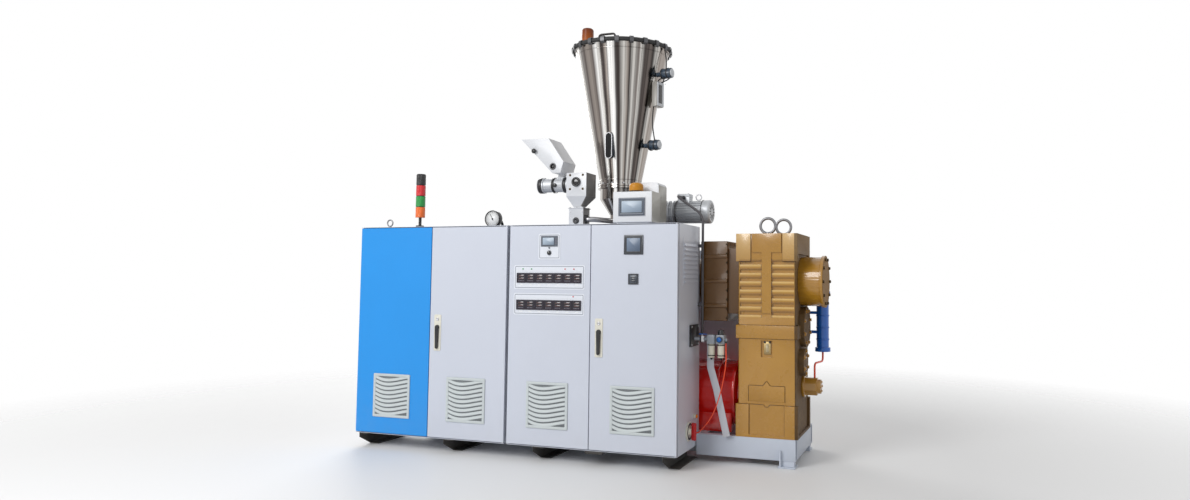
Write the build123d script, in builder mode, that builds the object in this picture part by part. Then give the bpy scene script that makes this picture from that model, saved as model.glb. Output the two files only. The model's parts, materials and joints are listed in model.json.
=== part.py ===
"""Conical twin-screw plastic extruder with its switch cabinet, drive, hopper and side doser.

Millimetres, Z up. The cabinet's doors face the front, -Y, and the plastic leaves to the
left, -X. The origin is on the floor, in the middle of the machine's length and depth.
"""

from build123d import *
from math import cos, pi, radians, sin, tan
import os

os.makedirs("parts", exist_ok=True)


# Driving dimensions
door_pitch = 640.0
door_count = 4
door_height = 1531.0
door_clearance = 5.0
cabinet_depth = 500.0
enclosure_gap = 20.0
bearer_height = 103.0
plate_sheet = 3.0
lock_reach = 18.0
axis_from_cabinet = 182.0
axis_below_roof = 388.0
gear_gap = 292.0
casing_width = 433.0
casing_depth = 531.0
casing_rise = 333.0
end_reach = 170.0
base_depth = 703.0
base_bottom = 44.0
base_top = 190.0
hopper_setback = 1860.0
hopper_rise = 325.0
hopper_height = 1080.0
seat_gap = 0.3
overrun = 10.0

# Main places worked out from them
cabinet_length = door_count * door_pitch
machine_length = cabinet_length + gear_gap + casing_width + end_reach
left = -machine_length / 2
cabinet_right = left + cabinet_length
casing_left = cabinet_right + gear_gap
casing_right = casing_left + casing_width
axis_setback = cabinet_depth + axis_from_cabinet
machine_depth = lock_reach + axis_setback - casing_depth / 2 + base_depth
door_front = lock_reach - machine_depth / 2
cabinet_rear = door_front + cabinet_depth
axis_y = door_front + axis_setback
casing_front = axis_y - casing_depth / 2
casing_rear = axis_y + casing_depth / 2
base_rear = casing_front + base_depth
floor_plate_top = bearer_height + plate_sheet
door_bottom = floor_plate_top + door_clearance
door_top = door_bottom + door_height
roof_bottom = door_top + door_clearance
roof_top = roof_bottom + plate_sheet
axis_height = roof_top - axis_below_roof
hopper_x = left + hopper_setback
hopper_bottom = roof_top + hopper_rise
hopper_top = hopper_bottom + hopper_height
casing_top = axis_height + casing_rise

low_corner = (Align.MIN, Align.MIN)
octagon_turn = 180 / 8


def front(y):
    """The plane that faces the front at depth y, with X to the right and Z up."""
    return Plane.XZ.offset(-y)


def side(x):
    """The plane that faces right at x, with Y to the rear and Z up."""
    return Plane.YZ.offset(x)


def level(z):
    """The horizontal plane at height z."""
    return Plane.XY.offset(z)


def save(part, name):
    """Label a finished piece and write its STEP file."""
    part.label = name
    export_step(part, "parts/" + name + ".step")


# Cabinet: two enclosures of sheet steel, each behind a pair of doors
side_sheet = 2.5
return_width = 16.0
roof_setback = 2.0
lip_setback = 29.0
enclosure_width = (cabinet_length - enclosure_gap) / 2
enclosure_lefts = [left, left + enclosure_width + enclosure_gap]
panel_front = door_front + lip_setback
panel_rear = cabinet_rear - side_sheet
panel_height = roof_bottom - floor_plate_top

with BuildPart() as cabinet_sides:
    with BuildSketch(level(floor_plate_top)):
        for enclosure_left in enclosure_lefts:
            for outer_x, inward in ((enclosure_left, 1), (enclosure_left + enclosure_width, -1)):
                with Locations((outer_x + inward * side_sheet / 2, (panel_front + panel_rear) / 2)):
                    Rectangle(side_sheet, panel_rear - panel_front)
                with Locations((outer_x + inward * return_width / 2, panel_front + side_sheet / 2)):
                    Rectangle(return_width, side_sheet)
                with Locations((outer_x + inward * return_width / 2, panel_rear - side_sheet / 2)):
                    Rectangle(return_width, side_sheet)
    extrude(amount=panel_height)
save(cabinet_sides.part, "cabinet_sides")

with BuildPart() as cabinet_backs:
    with BuildSketch(level(floor_plate_top)):
        for enclosure_left in enclosure_lefts:
            with Locations((enclosure_left, panel_rear)):
                Rectangle(enclosure_width, side_sheet, align=low_corner)
    extrude(amount=panel_height)
save(cabinet_backs.part, "cabinet_backs")


def make_end_plates(bottom):
    """The roof or floor plates of both enclosures, with the front edge above or below the doors."""
    with BuildPart() as plates:
        with BuildSketch(level(bottom)):
            for enclosure_left in enclosure_lefts:
                with Locations((enclosure_left, door_front + roof_setback)):
                    Rectangle(enclosure_width, cabinet_depth - roof_setback, align=low_corner)
        extrude(amount=plate_sheet)
    return plates.part


save(make_end_plates(roof_bottom), "cabinet_roofs")
save(make_end_plates(bearer_height), "cabinet_floors")

# Door places: two pairs, each pair hinged at its outer edges
door_side_margin = 2.0
door_pair_gap = 6.0
door_depth = 20.0
door_sheet = 2.0
door_edge_round = 1.2
pivot_inset = 9.0
pivot_radius = 4.0
pivot_collar_radius = 6.5
pivot_length = 30.0
pivot_y = door_front + pivot_inset
door_middle_z = (door_bottom + door_top) / 2

door_spans = []
for enclosure_left in enclosure_lefts:
    enclosure_middle = enclosure_left + enclosure_width / 2
    door_spans.append((enclosure_left + door_side_margin, enclosure_middle - door_pair_gap / 2))
    door_spans.append((enclosure_middle + door_pair_gap / 2, enclosure_left + enclosure_width - door_side_margin))
hinge_xs = []
for index, (span_left, span_right) in enumerate(door_spans):
    hinge_xs.append(span_left + pivot_inset if index % 2 == 0 else span_right - pivot_inset)

with BuildPart() as door_pivots:
    for plane_z, direction in ((floor_plate_top, 1), (roof_bottom, -1)):
        with BuildSketch(level(plane_z)):
            for hinge_x in hinge_xs:
                with Locations((hinge_x, pivot_y)):
                    Circle(pivot_collar_radius)
        extrude(amount=direction * (door_clearance - seat_gap))
        with BuildSketch(level(plane_z)):
            for hinge_x in hinge_xs:
                with Locations((hinge_x, pivot_y)):
                    Circle(pivot_radius)
        extrude(amount=direction * pivot_length)
save(door_pivots.part, "door_pivots")

# Cross bearers under the cabinet: channels with a raked front end
bearer_width = 80.0
bearer_web = 6.0
bearer_flange = 8.0
bearer_nose = 35.0
bearer_rake_run = 128.0
strip_width = 130.0
strip_height = 20.0
rail_gap = 20.0
rail_front = cabinet_rear + rail_gap
bearer_centre_shares = [0.03, 0.318, 0.602, 0.977]
strip_centre_share = 0.7675

with BuildPart() as cabinet_bearers:
    for share in bearer_centre_shares:
        bearer_left = left + share * cabinet_length - bearer_width / 2
        with BuildSketch(front(rail_front)):
            with Locations((bearer_left, 0)):
                Rectangle(bearer_width, bearer_height, align=low_corner)
            with Locations((bearer_left + bearer_web, bearer_flange)):
                Rectangle(bearer_width, bearer_height - 2 * bearer_flange, align=low_corner, mode=Mode.SUBTRACT)
        extrude(amount=rail_front - door_front)
    with BuildSketch(side(left)):
        with BuildLine():
            Polyline(
                (door_front, bearer_height - bearer_nose),
                (door_front + bearer_rake_run, 0),
                (door_front + bearer_rake_run, -overrun),
                (door_front - overrun, -overrun),
                (door_front - overrun, bearer_height - bearer_nose),
                close=True,
            )
        make_face()
    extrude(amount=cabinet_length, mode=Mode.SUBTRACT)
    with BuildSketch(level(bearer_height - strip_height)):
        with Locations((left + strip_centre_share * cabinet_length, door_front + cabinet_depth / 2)):
            Rectangle(strip_width, cabinet_depth)
    extrude(amount=strip_height)
save(cabinet_bearers.part, "cabinet_bearers")

# Mounting plates inside, on spacers from the back panels
mounting_inset = 90.0
mounting_sheet = 3.0
mounting_gap = 30.0
spacer_radius = 12.0
spacer_inset = 40.0
mounting_width = enclosure_width - 2 * mounting_inset
mounting_height = panel_height - 2 * mounting_inset

with BuildPart() as mounting_plates:
    mounting_centres = []
    for enclosure_left in enclosure_lefts:
        mounting_centres.append((enclosure_left + enclosure_width / 2, door_middle_z))
    with BuildSketch(front(panel_rear - mounting_gap)):
        with Locations(*mounting_centres):
            Rectangle(mounting_width, mounting_height)
    extrude(amount=mounting_sheet)
    with BuildSketch(front(panel_rear)):
        with Locations(*mounting_centres):
            with GridLocations(mounting_width - 2 * spacer_inset, mounting_height - 2 * spacer_inset, 2, 2):
                Circle(spacer_radius)
    extrude(amount=mounting_gap)
save(mounting_plates.part, "mounting_plates")

# Doors: folded trays on pivot pins, with an opening behind each filter grille
grille_size = 321.0
grille_rise = 279.0
grille_middle_z = door_bottom + grille_rise
grille_opening = 270.0
pin_clearance = 0.3
pivot_block = 2 * (pivot_inset - door_sheet)
pivot_block_height = pivot_length + pivot_block
door_back = door_front + door_depth


def make_door(span_left, span_right, hinge_x):
    """A door tray: front sheet, rim all round, and two bored blocks on the hinge side."""
    middle_x = (span_left + span_right) / 2
    width = span_right - span_left
    with BuildPart() as door:
        with BuildSketch(front(door_back)):
            with Locations((middle_x, door_middle_z)):
                Rectangle(width, door_height)
        extrude(amount=door_depth)
        chamfer(door.faces().sort_by(Axis.Y)[0].edges(), door_edge_round)
        with BuildSketch(front(door_back)):
            with Locations((middle_x, door_middle_z)):
                Rectangle(width - 2 * door_sheet, door_height - 2 * door_sheet)
        extrude(amount=door_depth - door_sheet, mode=Mode.SUBTRACT)
        for edge_z, direction in ((door_bottom, 1), (door_top, -1)):
            with BuildSketch(level(edge_z + direction * door_sheet)):
                with Locations((hinge_x, pivot_y)):
                    Rectangle(pivot_block, pivot_block)
            extrude(amount=direction * pivot_block_height)
            with BuildSketch(level(edge_z)):
                with Locations((hinge_x, pivot_y)):
                    Circle(pivot_radius + pin_clearance)
            extrude(amount=direction * pivot_length, mode=Mode.SUBTRACT)
        with BuildSketch(front(door_back)):
            with Locations((middle_x, grille_middle_z)):
                Rectangle(grille_opening, grille_opening)
        extrude(amount=door_depth, mode=Mode.SUBTRACT)
    return door.part


door_names = ["door_1_blue", "door_2", "door_3_controls", "door_4"]
for door_name, (span_left, span_right), hinge_x in zip(door_names, door_spans, hinge_xs):
    save(make_door(span_left, span_right, hinge_x), door_name)

# Filter grilles: a moulded frame with slats that dip and rise in three facets
grille_reach = 8.0
grille_border = 20.0
grille_corner = 6.0
slat_count = 9
slat_reach = 6.0
slat_height_share = 0.62
slat_bend_shares = [(0.0, 0.42), (0.33, -0.36), (0.68, -0.10), (1.0, 0.52)]
pad_sheet = 2.0


def make_grille(middle_x):
    """A square grille that covers the door's opening, with a filter pad behind the slats."""
    inner = grille_size - 2 * grille_border
    pitch = inner / slat_count
    inner_left = middle_x - inner / 2
    inner_bottom = grille_middle_z - inner / 2
    with BuildPart() as grille:
        with BuildSketch(front(door_front)):
            with Locations((middle_x, grille_middle_z)):
                RectangleRounded(grille_size, grille_size, grille_corner)
        extrude(amount=grille_reach)
        with BuildSketch(front(door_front - pad_sheet)):
            with Locations((middle_x, grille_middle_z)):
                Rectangle(inner, inner)
        extrude(amount=grille_reach, mode=Mode.SUBTRACT)
        with BuildSketch(front(door_front - pad_sheet)):
            for slat in range(slat_count):
                middle_z = inner_bottom + (slat + 1 / 2) * pitch
                upper = []
                for along_share, rise_share in slat_bend_shares:
                    rise_z = middle_z + rise_share * pitch / 2
                    upper.append((inner_left + along_share * inner, rise_z + slat_height_share * pitch / 2))
                lower = [(x, z - slat_height_share * pitch) for x, z in reversed(upper)]
                with BuildLine():
                    Polyline(*upper, *lower, close=True)
                make_face()
            with Locations((middle_x, grille_middle_z)):
                Rectangle(inner, inner, mode=Mode.INTERSECT)
        extrude(amount=slat_reach - pad_sheet)
    return grille.part


for number, (span_left, span_right) in enumerate(door_spans, start=1):
    save(make_grille((span_left + span_right) / 2), "grille_%d" % number)

# Door locks: a long plate and a lever that turns on the plate's boss
lock_inset = 66.0
lock_width = 58.0
lock_below_middle = 140.5
lock_bottom = door_middle_z - lock_below_middle
lock_height = 264.0
lock_plate_sheet = 4.0
lock_corner = 8.0
lever_clearance = 5.0
lever_boss_radius = 17.0
lever_top_radius = 15.0
lever_tip_radius = 11.0
lever_pivot_rise = 172.0
lever_pivot_z = lock_bottom + lever_pivot_rise
lever_length = 145.0
lever_grip = lock_reach - lock_plate_sheet - lever_clearance


def make_lock_plate(lock_x):
    """The pale lock plate, with a shallow recess around the lever."""
    with BuildPart() as plate:
        with BuildSketch(front(door_front)):
            with Locations((lock_x, lock_bottom + lock_height / 2)):
                RectangleRounded(lock_width, lock_height, lock_corner)
        extrude(amount=lock_plate_sheet)
        chamfer(plate.faces().sort_by(Axis.Y)[0].edges(), lock_plate_sheet / 4)
    return plate.part


def make_lever(lock_x):
    """The black lever: a round boss on the plate and a tapered grip that hangs from it."""
    with BuildPart() as lever:
        with BuildSketch(front(door_front - lock_plate_sheet - seat_gap)):
            with Locations((lock_x, lever_pivot_z)):
                Circle(lever_boss_radius)
        extrude(amount=lever_clearance)
        with BuildSketch(front(door_front - lock_plate_sheet - lever_clearance)):
            with Locations((lock_x, lever_pivot_z)):
                Circle(lever_top_radius)
            with Locations((lock_x, lever_pivot_z - lever_length)):
                Circle(lever_tip_radius)
            make_hull()
        extrude(amount=lever_grip)
        fillet(lever.faces().sort_by(Axis.Y)[0].edges(), lever_grip / 4)
    return lever.part


lock_xs = [door_spans[1][0] + lock_inset, door_spans[3][0] + lock_inset]
for number, lock_x in zip((2, 4), lock_xs):
    save(make_lock_plate(lock_x), "lock_plate_%d" % number)
    save(make_lever(lock_x), "lock_lever_%d" % number)

# Heat controllers: two panels on the third door, each with a row of square controllers
controller_size = 70.0
controller_count = 7
controller_pitch = 72.4
controller_reach = 8.0
controller_glass = 56.0
controller_recess = 1.5
panel_width = 551.0
panel_sheet = 2.0
panel_corner = 10.0
upper_panel_drop = 447.0
upper_panel_bottom = door_top - upper_panel_drop
upper_panel_height = 170.0
lower_panel_drop = 628.0
lower_panel_bottom = door_top - lower_panel_drop
lower_panel_height = 153.0
row_drop = 6.0
third_door_middle = (door_spans[2][0] + door_spans[2][1]) / 2

with BuildPart() as heat_controllers:
    for panel_bottom, height in (
        (upper_panel_bottom, upper_panel_height),
        (lower_panel_bottom, lower_panel_height),
    ):
        row_z = panel_bottom + height / 2 - row_drop
        with BuildSketch(front(door_front)):
            with Locations((third_door_middle, panel_bottom + height / 2)):
                RectangleRounded(panel_width, height, panel_corner)
        extrude(amount=panel_sheet)
        with BuildSketch(front(door_front)):
            with Locations((third_door_middle, row_z)):
                with GridLocations(controller_pitch, controller_pitch, controller_count, 1):
                    RectangleRounded(controller_size, controller_size, panel_sheet)
        extrude(amount=controller_reach)
        with BuildSketch(front(door_front - controller_reach)):
            with Locations((third_door_middle, row_z)):
                with GridLocations(controller_pitch, controller_pitch, controller_count, 1):
                    Rectangle(controller_glass, controller_glass)
        extrude(amount=-controller_recess, mode=Mode.SUBTRACT)
save(heat_controllers.part, "heat_controllers")

# Speed panel above them: a display, a button and the ring of the selector
speed_width = 171.0
speed_height = 181.0
speed_drop = 237.0
speed_bottom = door_top - speed_drop
display_width = 130.0
display_height = 75.0
display_reach = 6.0
display_drop = 16.0
button_radius = 6.0
button_rise = 81.0
button_z = speed_bottom + button_rise
selector_rise = 46.0
selector_z = speed_bottom + selector_rise
selector_ring_radius = 17.0
selector_ring_reach = 5.0
selector_radius = 13.0
selector_grip = 8.0
selector_length = 27.0

with BuildPart() as speed_panel:
    with BuildSketch(front(door_front)):
        with Locations((third_door_middle, speed_bottom + speed_height / 2)):
            RectangleRounded(speed_width, speed_height, panel_corner)
    extrude(amount=panel_sheet)
    with BuildSketch(front(door_front)):
        with Locations((third_door_middle, speed_bottom + speed_height - display_drop - display_height / 2)):
            RectangleRounded(display_width, display_height, panel_sheet)
        with Locations((third_door_middle, button_z)):
            Circle(button_radius)
    extrude(amount=display_reach)
    with BuildSketch(front(door_front)):
        with Locations((third_door_middle, selector_z)):
            Circle(selector_ring_radius)
    extrude(amount=selector_ring_reach)
save(speed_panel.part, "speed_panel")

with BuildPart() as speed_selector:
    with BuildSketch(front(door_front - selector_ring_reach - seat_gap)):
        with Locations((third_door_middle, selector_z)):
            Circle(selector_radius)
    extrude(amount=(lock_reach - selector_ring_reach) / 2)
    with BuildSketch(front(door_front - selector_ring_reach - seat_gap)):
        with Locations((third_door_middle, selector_z)):
            SlotOverall(selector_length, selector_grip, rotation=90)
    extrude(amount=lock_reach - selector_ring_reach - seat_gap)
save(speed_selector.part, "speed_selector")

# Instruments on the fourth door: a screen and a square meter
screen_size = 139.0
screen_height = 132.0
screen_drop = 204.0
screen_bottom = door_top - screen_drop
screen_reach = 7.0
screen_border = 13.0
meter_size = 72.0
meter_drop = 407.0
meter_bottom = door_top - meter_drop
fourth_door_middle = (door_spans[3][0] + door_spans[3][1]) / 2

with BuildPart() as door_instruments:
    with BuildSketch(front(door_front)):
        with Locations((fourth_door_middle, screen_bottom + screen_height / 2)):
            RectangleRounded(screen_size, screen_height, panel_sheet)
        with Locations((fourth_door_middle, meter_bottom + meter_size / 2)):
            RectangleRounded(meter_size, meter_size, panel_sheet)
    extrude(amount=screen_reach)
    with BuildSketch(front(door_front - screen_reach)):
        with Locations((fourth_door_middle, screen_bottom + screen_height / 2)):
            Rectangle(screen_size - 2 * screen_border, screen_height - 2 * screen_border)
        with Locations((fourth_door_middle, meter_bottom + meter_size / 2)):
            Rectangle(meter_size - screen_border, meter_size - screen_border)
    extrude(amount=-controller_recess, mode=Mode.SUBTRACT)
save(door_instruments.part, "door_instruments")

# Louvre on the cabinet's right side: a plate with pressed hoods
louvre_from_rear = 48.0
louvre_width = 340.0
louvre_front = cabinet_rear - louvre_from_rear - louvre_width
louvre_drop = 421.0
louvre_bottom = roof_bottom - louvre_drop
louvre_height = 330.0
louvre_sheet = 2.0
louvre_margin = 24.0
hood_count = 9
hood_reach = 10.0
hood_height_share = 0.62

with BuildPart() as side_louvre:
    with BuildSketch(side(cabinet_right)):
        with Locations((louvre_front, louvre_bottom)):
            Rectangle(louvre_width, louvre_height, align=low_corner)
    extrude(amount=louvre_sheet)
    hood_pitch = (louvre_height - 2 * louvre_margin) / hood_count
    with BuildSketch(front(louvre_front + louvre_width - louvre_margin)):
        for hood in range(hood_count):
            hood_bottom = louvre_bottom + louvre_margin + hood * hood_pitch
            with BuildLine():
                Polyline(
                    (cabinet_right + louvre_sheet, hood_bottom),
                    (cabinet_right + louvre_sheet + hood_reach, hood_bottom),
                    (cabinet_right + louvre_sheet, hood_bottom + hood_height_share * hood_pitch),
                    close=True,
                )
            make_face()
    extrude(amount=louvre_width - 2 * louvre_margin)
save(side_louvre.part, "side_louvre")

# Main switch low on the right side: an octagonal plate with a turning handle, and a lamp
switch_setback = 250.0
switch_z = 232.0
switch_radius = 68.0
switch_reach = 12.0
switch_neck_radius = 24.0
switch_neck = 14.0
switch_lever_length = 120.0
switch_lever_width = 30.0
switch_lever_depth = 30.0
lamp_setback = 372.0
lamp_z = 316.0
lamp_radius = 15.0
lamp_reach = 24.0
lever_base = cabinet_right + switch_reach + switch_neck + seat_gap

with BuildPart() as main_switch:
    with BuildSketch(side(cabinet_right)):
        with Locations((door_front + switch_setback, switch_z)):
            RegularPolygon(switch_radius, 8, rotation=octagon_turn)
        with Locations((door_front + lamp_setback, lamp_z)):
            Circle(lamp_radius)
    extrude(amount=switch_reach)
    with BuildSketch(side(cabinet_right + switch_reach)):
        with Locations((door_front + switch_setback, switch_z)):
            Circle(switch_neck_radius)
    extrude(amount=switch_neck)
    with BuildSketch(side(cabinet_right + switch_reach)):
        with Locations((door_front + lamp_setback, lamp_z)):
            Circle(lamp_radius * 2 / 3)
    extrude(amount=lamp_reach - switch_reach)
save(main_switch.part, "main_switch")

with BuildPart() as main_switch_lever:
    with BuildSketch(side(lever_base)):
        with Locations((door_front + switch_setback, switch_z)):
            SlotOverall(switch_lever_length, switch_lever_width, rotation=90)
    extrude(amount=switch_lever_depth)
    fillet(main_switch_lever.faces().sort_by(Axis.X)[-1].edges(), switch_lever_depth / 5)
save(main_switch_lever.part, "main_switch_lever")

# Signal tower on the roof: a pole and four stacked lamps
tower_from_left = 482.0
tower_x = left + tower_from_left
tower_setback = 60.0
tower_y = door_front + tower_setback
tower_foot_radius = 30.0
tower_foot_height = 12.0
tower_pole_radius = 11.0
tower_lamp_radius = 35.0
tower_neck_radius = 31.0
tower_groove = 5.0
tower_pole = 72.0
tower_lamp_bottom = roof_top + tower_pole
tower_lamp_height = 82.5
tower_lamp_count = 4

with BuildPart() as signal_tower:
    with BuildSketch(level(roof_top)):
        with Locations((tower_x, tower_y)):
            Circle(tower_foot_radius)
    extrude(amount=tower_foot_height)
    with BuildSketch(level(roof_top)):
        with Locations((tower_x, tower_y)):
            Circle(tower_pole_radius)
    extrude(amount=tower_lamp_bottom - roof_top)
    with BuildSketch(level(tower_lamp_bottom)):
        with Locations((tower_x, tower_y)):
            Circle(tower_neck_radius)
    extrude(amount=tower_lamp_count * tower_lamp_height)
    for lamp in range(tower_lamp_count):
        with BuildSketch(level(tower_lamp_bottom + lamp * tower_lamp_height)):
            with Locations((tower_x, tower_y)):
                Circle(tower_lamp_radius)
        extrude(amount=tower_lamp_height - tower_groove)
save(signal_tower.part, "signal_tower")

# Lifting eyes: one on the cabinet's roof and two on the gearbox
eye_collar_height = 10.0
cabinet_eye_from_left = 212.0
cabinet_eye_setback = 60.0
cabinet_eye = (left + cabinet_eye_from_left, door_front + cabinet_eye_setback, roof_top)
cabinet_eye_radius = 24.0
cabinet_eye_wire = 5.0
gear_eye_radius = 54.0
gear_eye_wire = 10.0
gear_eye_middle = 230.0
gear_eye_spread = 41.0
gear_eye_stagger = 82.0
gear_eye_places = [
    (casing_left + gear_eye_middle - gear_eye_spread, axis_y - gear_eye_stagger, casing_top),
    (casing_left + gear_eye_middle + gear_eye_spread, axis_y + gear_eye_stagger, casing_top),
]


def make_eye(foot, ring_radius, wire_radius):
    """A ring on a round collar, its hole facing the front."""
    foot_x, foot_y, foot_z = foot
    ring_z = foot_z + eye_collar_height + ring_radius
    with BuildPart() as eye:
        with BuildSketch(level(foot_z)):
            with Locations((foot_x, foot_y)):
                Circle(2 * wire_radius)
        extrude(amount=eye_collar_height + wire_radius / 2)
        with BuildSketch(level(ring_z)):
            with Locations((foot_x + ring_radius, foot_y)):
                Circle(wire_radius)
        revolve(axis=Axis((foot_x, foot_y, ring_z), (0, 1, 0)))
    return eye.part


eyes = [make_eye(cabinet_eye, cabinet_eye_radius, cabinet_eye_wire)]
for gear_eye_place in gear_eye_places:
    eyes.append(make_eye(gear_eye_place, gear_eye_radius, gear_eye_wire))
with BuildPart() as lifting_eyes:
    for eye in eyes:
        add(eye)
save(lifting_eyes.part, "lifting_eyes")

# Base frame: channel rails along the machine, cross rails between them, and feet
rail_width = 60.0
rail_web = 8.0
base_left_from_left = 300.0
base_left = left + base_left_from_left
rail_split_from_cabinet = 6.0
rail_split = cabinet_right + rail_split_from_cabinet
base_right_from_casing = 15.0
base_right = casing_right - base_right_from_casing
cross_width = 60.0
foot_pad_width = 118.0
foot_pad_depth = 110.0
foot_gusset = 10.0
foot_gusset_top = 115.0
foot_lip = 26.0
rail_height = base_top - base_bottom


rail_runs = [
    (base_left, rail_split, rail_front, 1),
    (rail_split, base_right, casing_front, 1),
    (base_left, base_right, base_rear, -1),
]

with BuildPart() as base_rails:
    for rail_left, rail_right, outer_y, inward in rail_runs:
        with BuildSketch(side(rail_left)):
            with Locations((outer_y + inward * rail_width / 2, base_bottom + rail_height / 2)):
                Rectangle(rail_width, rail_height)
            with Locations((outer_y + inward * (rail_width / 2 + rail_web), base_bottom + rail_height / 2)):
                Rectangle(rail_width, rail_height - 2 * rail_web, mode=Mode.SUBTRACT)
        extrude(amount=rail_right - rail_left)
save(base_rails.part, "base_rails")

front_stand_from_left = 700.0
motor_cross_from_left = 2180.0
barrel_stand_xs = [left + front_stand_from_left, hopper_x]
rear_cross_xs = [base_left + cross_width / 2] + barrel_stand_xs + [left + motor_cross_from_left]
front_cross_xs = [rail_split + cross_width / 2, casing_left + cross_width, base_right - cross_width / 2]

with BuildPart() as base_cross_rails:
    with BuildSketch(level(base_bottom)):
        for cross_x in rear_cross_xs:
            with Locations((cross_x - cross_width / 2, rail_front + rail_width)):
                Rectangle(cross_width, base_rear - rail_front - 2 * rail_width, align=low_corner)
        for cross_x in front_cross_xs:
            with Locations((cross_x - cross_width / 2, casing_front + rail_width)):
                Rectangle(cross_width, base_rear - casing_front - 2 * rail_width, align=low_corner)
    extrude(amount=rail_height)
save(base_cross_rails.part, "base_cross_rails")

middle_foot_from_left = 1500.0
foot_xs = [base_left + foot_pad_width / 2, left + middle_foot_from_left, base_right - foot_pad_width / 2]

with BuildPart() as base_feet:
    for foot_x in foot_xs:
        front_y, front_lip = (casing_front, foot_lip) if foot_x > rail_split else (rail_front, 0)
        for pad_y, outward, lip in ((front_y, -1, front_lip), (base_rear, 1, 0)):
            pad_middle = pad_y + outward * (lip - foot_pad_depth / 2)
            with BuildSketch(level(0)):
                with Locations((foot_x, pad_middle)):
                    Rectangle(foot_pad_width, foot_pad_depth)
            extrude(amount=foot_gusset)
            with BuildSketch(level(0)):
                with Locations((foot_x, pad_y - outward * (rail_width / 2))):
                    Rectangle(foot_pad_width - 2 * foot_gusset, rail_width)
            extrude(amount=base_bottom)
            if lip > 0:
                with BuildSketch(level(0)):
                    with Locations((foot_x - foot_pad_width / 2 + foot_gusset, pad_y)):
                        Rectangle(foot_gusset, lip, align=(Align.MIN, Align.MAX if outward < 0 else Align.MIN))
                extrude(amount=foot_gusset_top)
save(base_feet.part, "base_feet")

# Gearbox casing: cast body with corner bosses, a parting band, cooling ribs and a cover outline
pad = 16.0
face_pad = 10.0
corner_width = 104.0
corner_depth = 45.0
corner_height = 194.0
side_block_height = 143.0
corner_bottom = casing_top - corner_height
side_block_bottom = casing_top - side_block_height
foot_block_width = 92.0
foot_block_rise = 223.0
foot_block_top = base_top + foot_block_rise
sole_height = 17.0
band_below_axis = 396.0
band_height = 91.0
band_bottom = axis_height - band_below_axis
band_top = band_bottom + band_height
top_pad_left = 115.0
top_pad_width = 206.0
top_pad_height = 133.0
top_pad_bottom = casing_top - top_pad_height
rib_column_width = 67.0
rib_length = 158.0
rib_pitch = 58.5
rib_gap = 24.0
rib_count = 7
rib_field_rise = 83.0
rib_field_bottom = band_top + rib_field_rise
pocket_width = 80.0
pocket_height = 113.0
pocket_drop = 127.0
pocket_bottom = band_bottom - pocket_drop
pocket_depth = 14.0
house_width = 251.0
house_rise = 247.0
house_height = 105.0
house_ridge_height = 32.0
house_bottom = base_top + house_rise
house_eaves = house_bottom + house_height
house_ridge = house_eaves + house_ridge_height
house_ridge_half = 25.0
house_reach = 4.0
pump_height_share = 0.306
pump_z = base_top + pump_height_share * (axis_height - base_top)
big_cap_radius = 142.0
big_cap_below_axis = 322.0
small_cap_radius = 96.0
small_cap_above_pump = 178.0
small_cap_shift = 62.0
cap_reach = 40.0
casting_round = 8.0
core_left = casing_left + pad
core_right = casing_right - pad
core_front = casing_front + face_pad
core_rear = casing_rear - face_pad
casing_middle = (casing_left + casing_right) / 2
casing_bottom = base_top + sole_height
foot_block_height = foot_block_top - casing_bottom

# Bosses on the cast body: low corner, then width, depth and height
casting_blocks = [
    (casing_left, casing_front, base_top, casing_width, casing_depth, sole_height),
    (casing_left, casing_front, band_bottom, casing_width, casing_depth, band_height),
    (casing_right - corner_width, casing_front, side_block_bottom, corner_width, casing_depth, side_block_height),
]
for corner_y in (casing_front, casing_rear - corner_depth):
    for corner_x in (casing_left, casing_right - corner_width):
        casting_blocks.append((corner_x, corner_y, corner_bottom, corner_width, corner_depth, corner_height))
    for foot_x in (casing_left, casing_right - foot_block_width):
        casting_blocks.append((foot_x, corner_y, casing_bottom, foot_block_width, corner_depth, foot_block_height))

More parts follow.
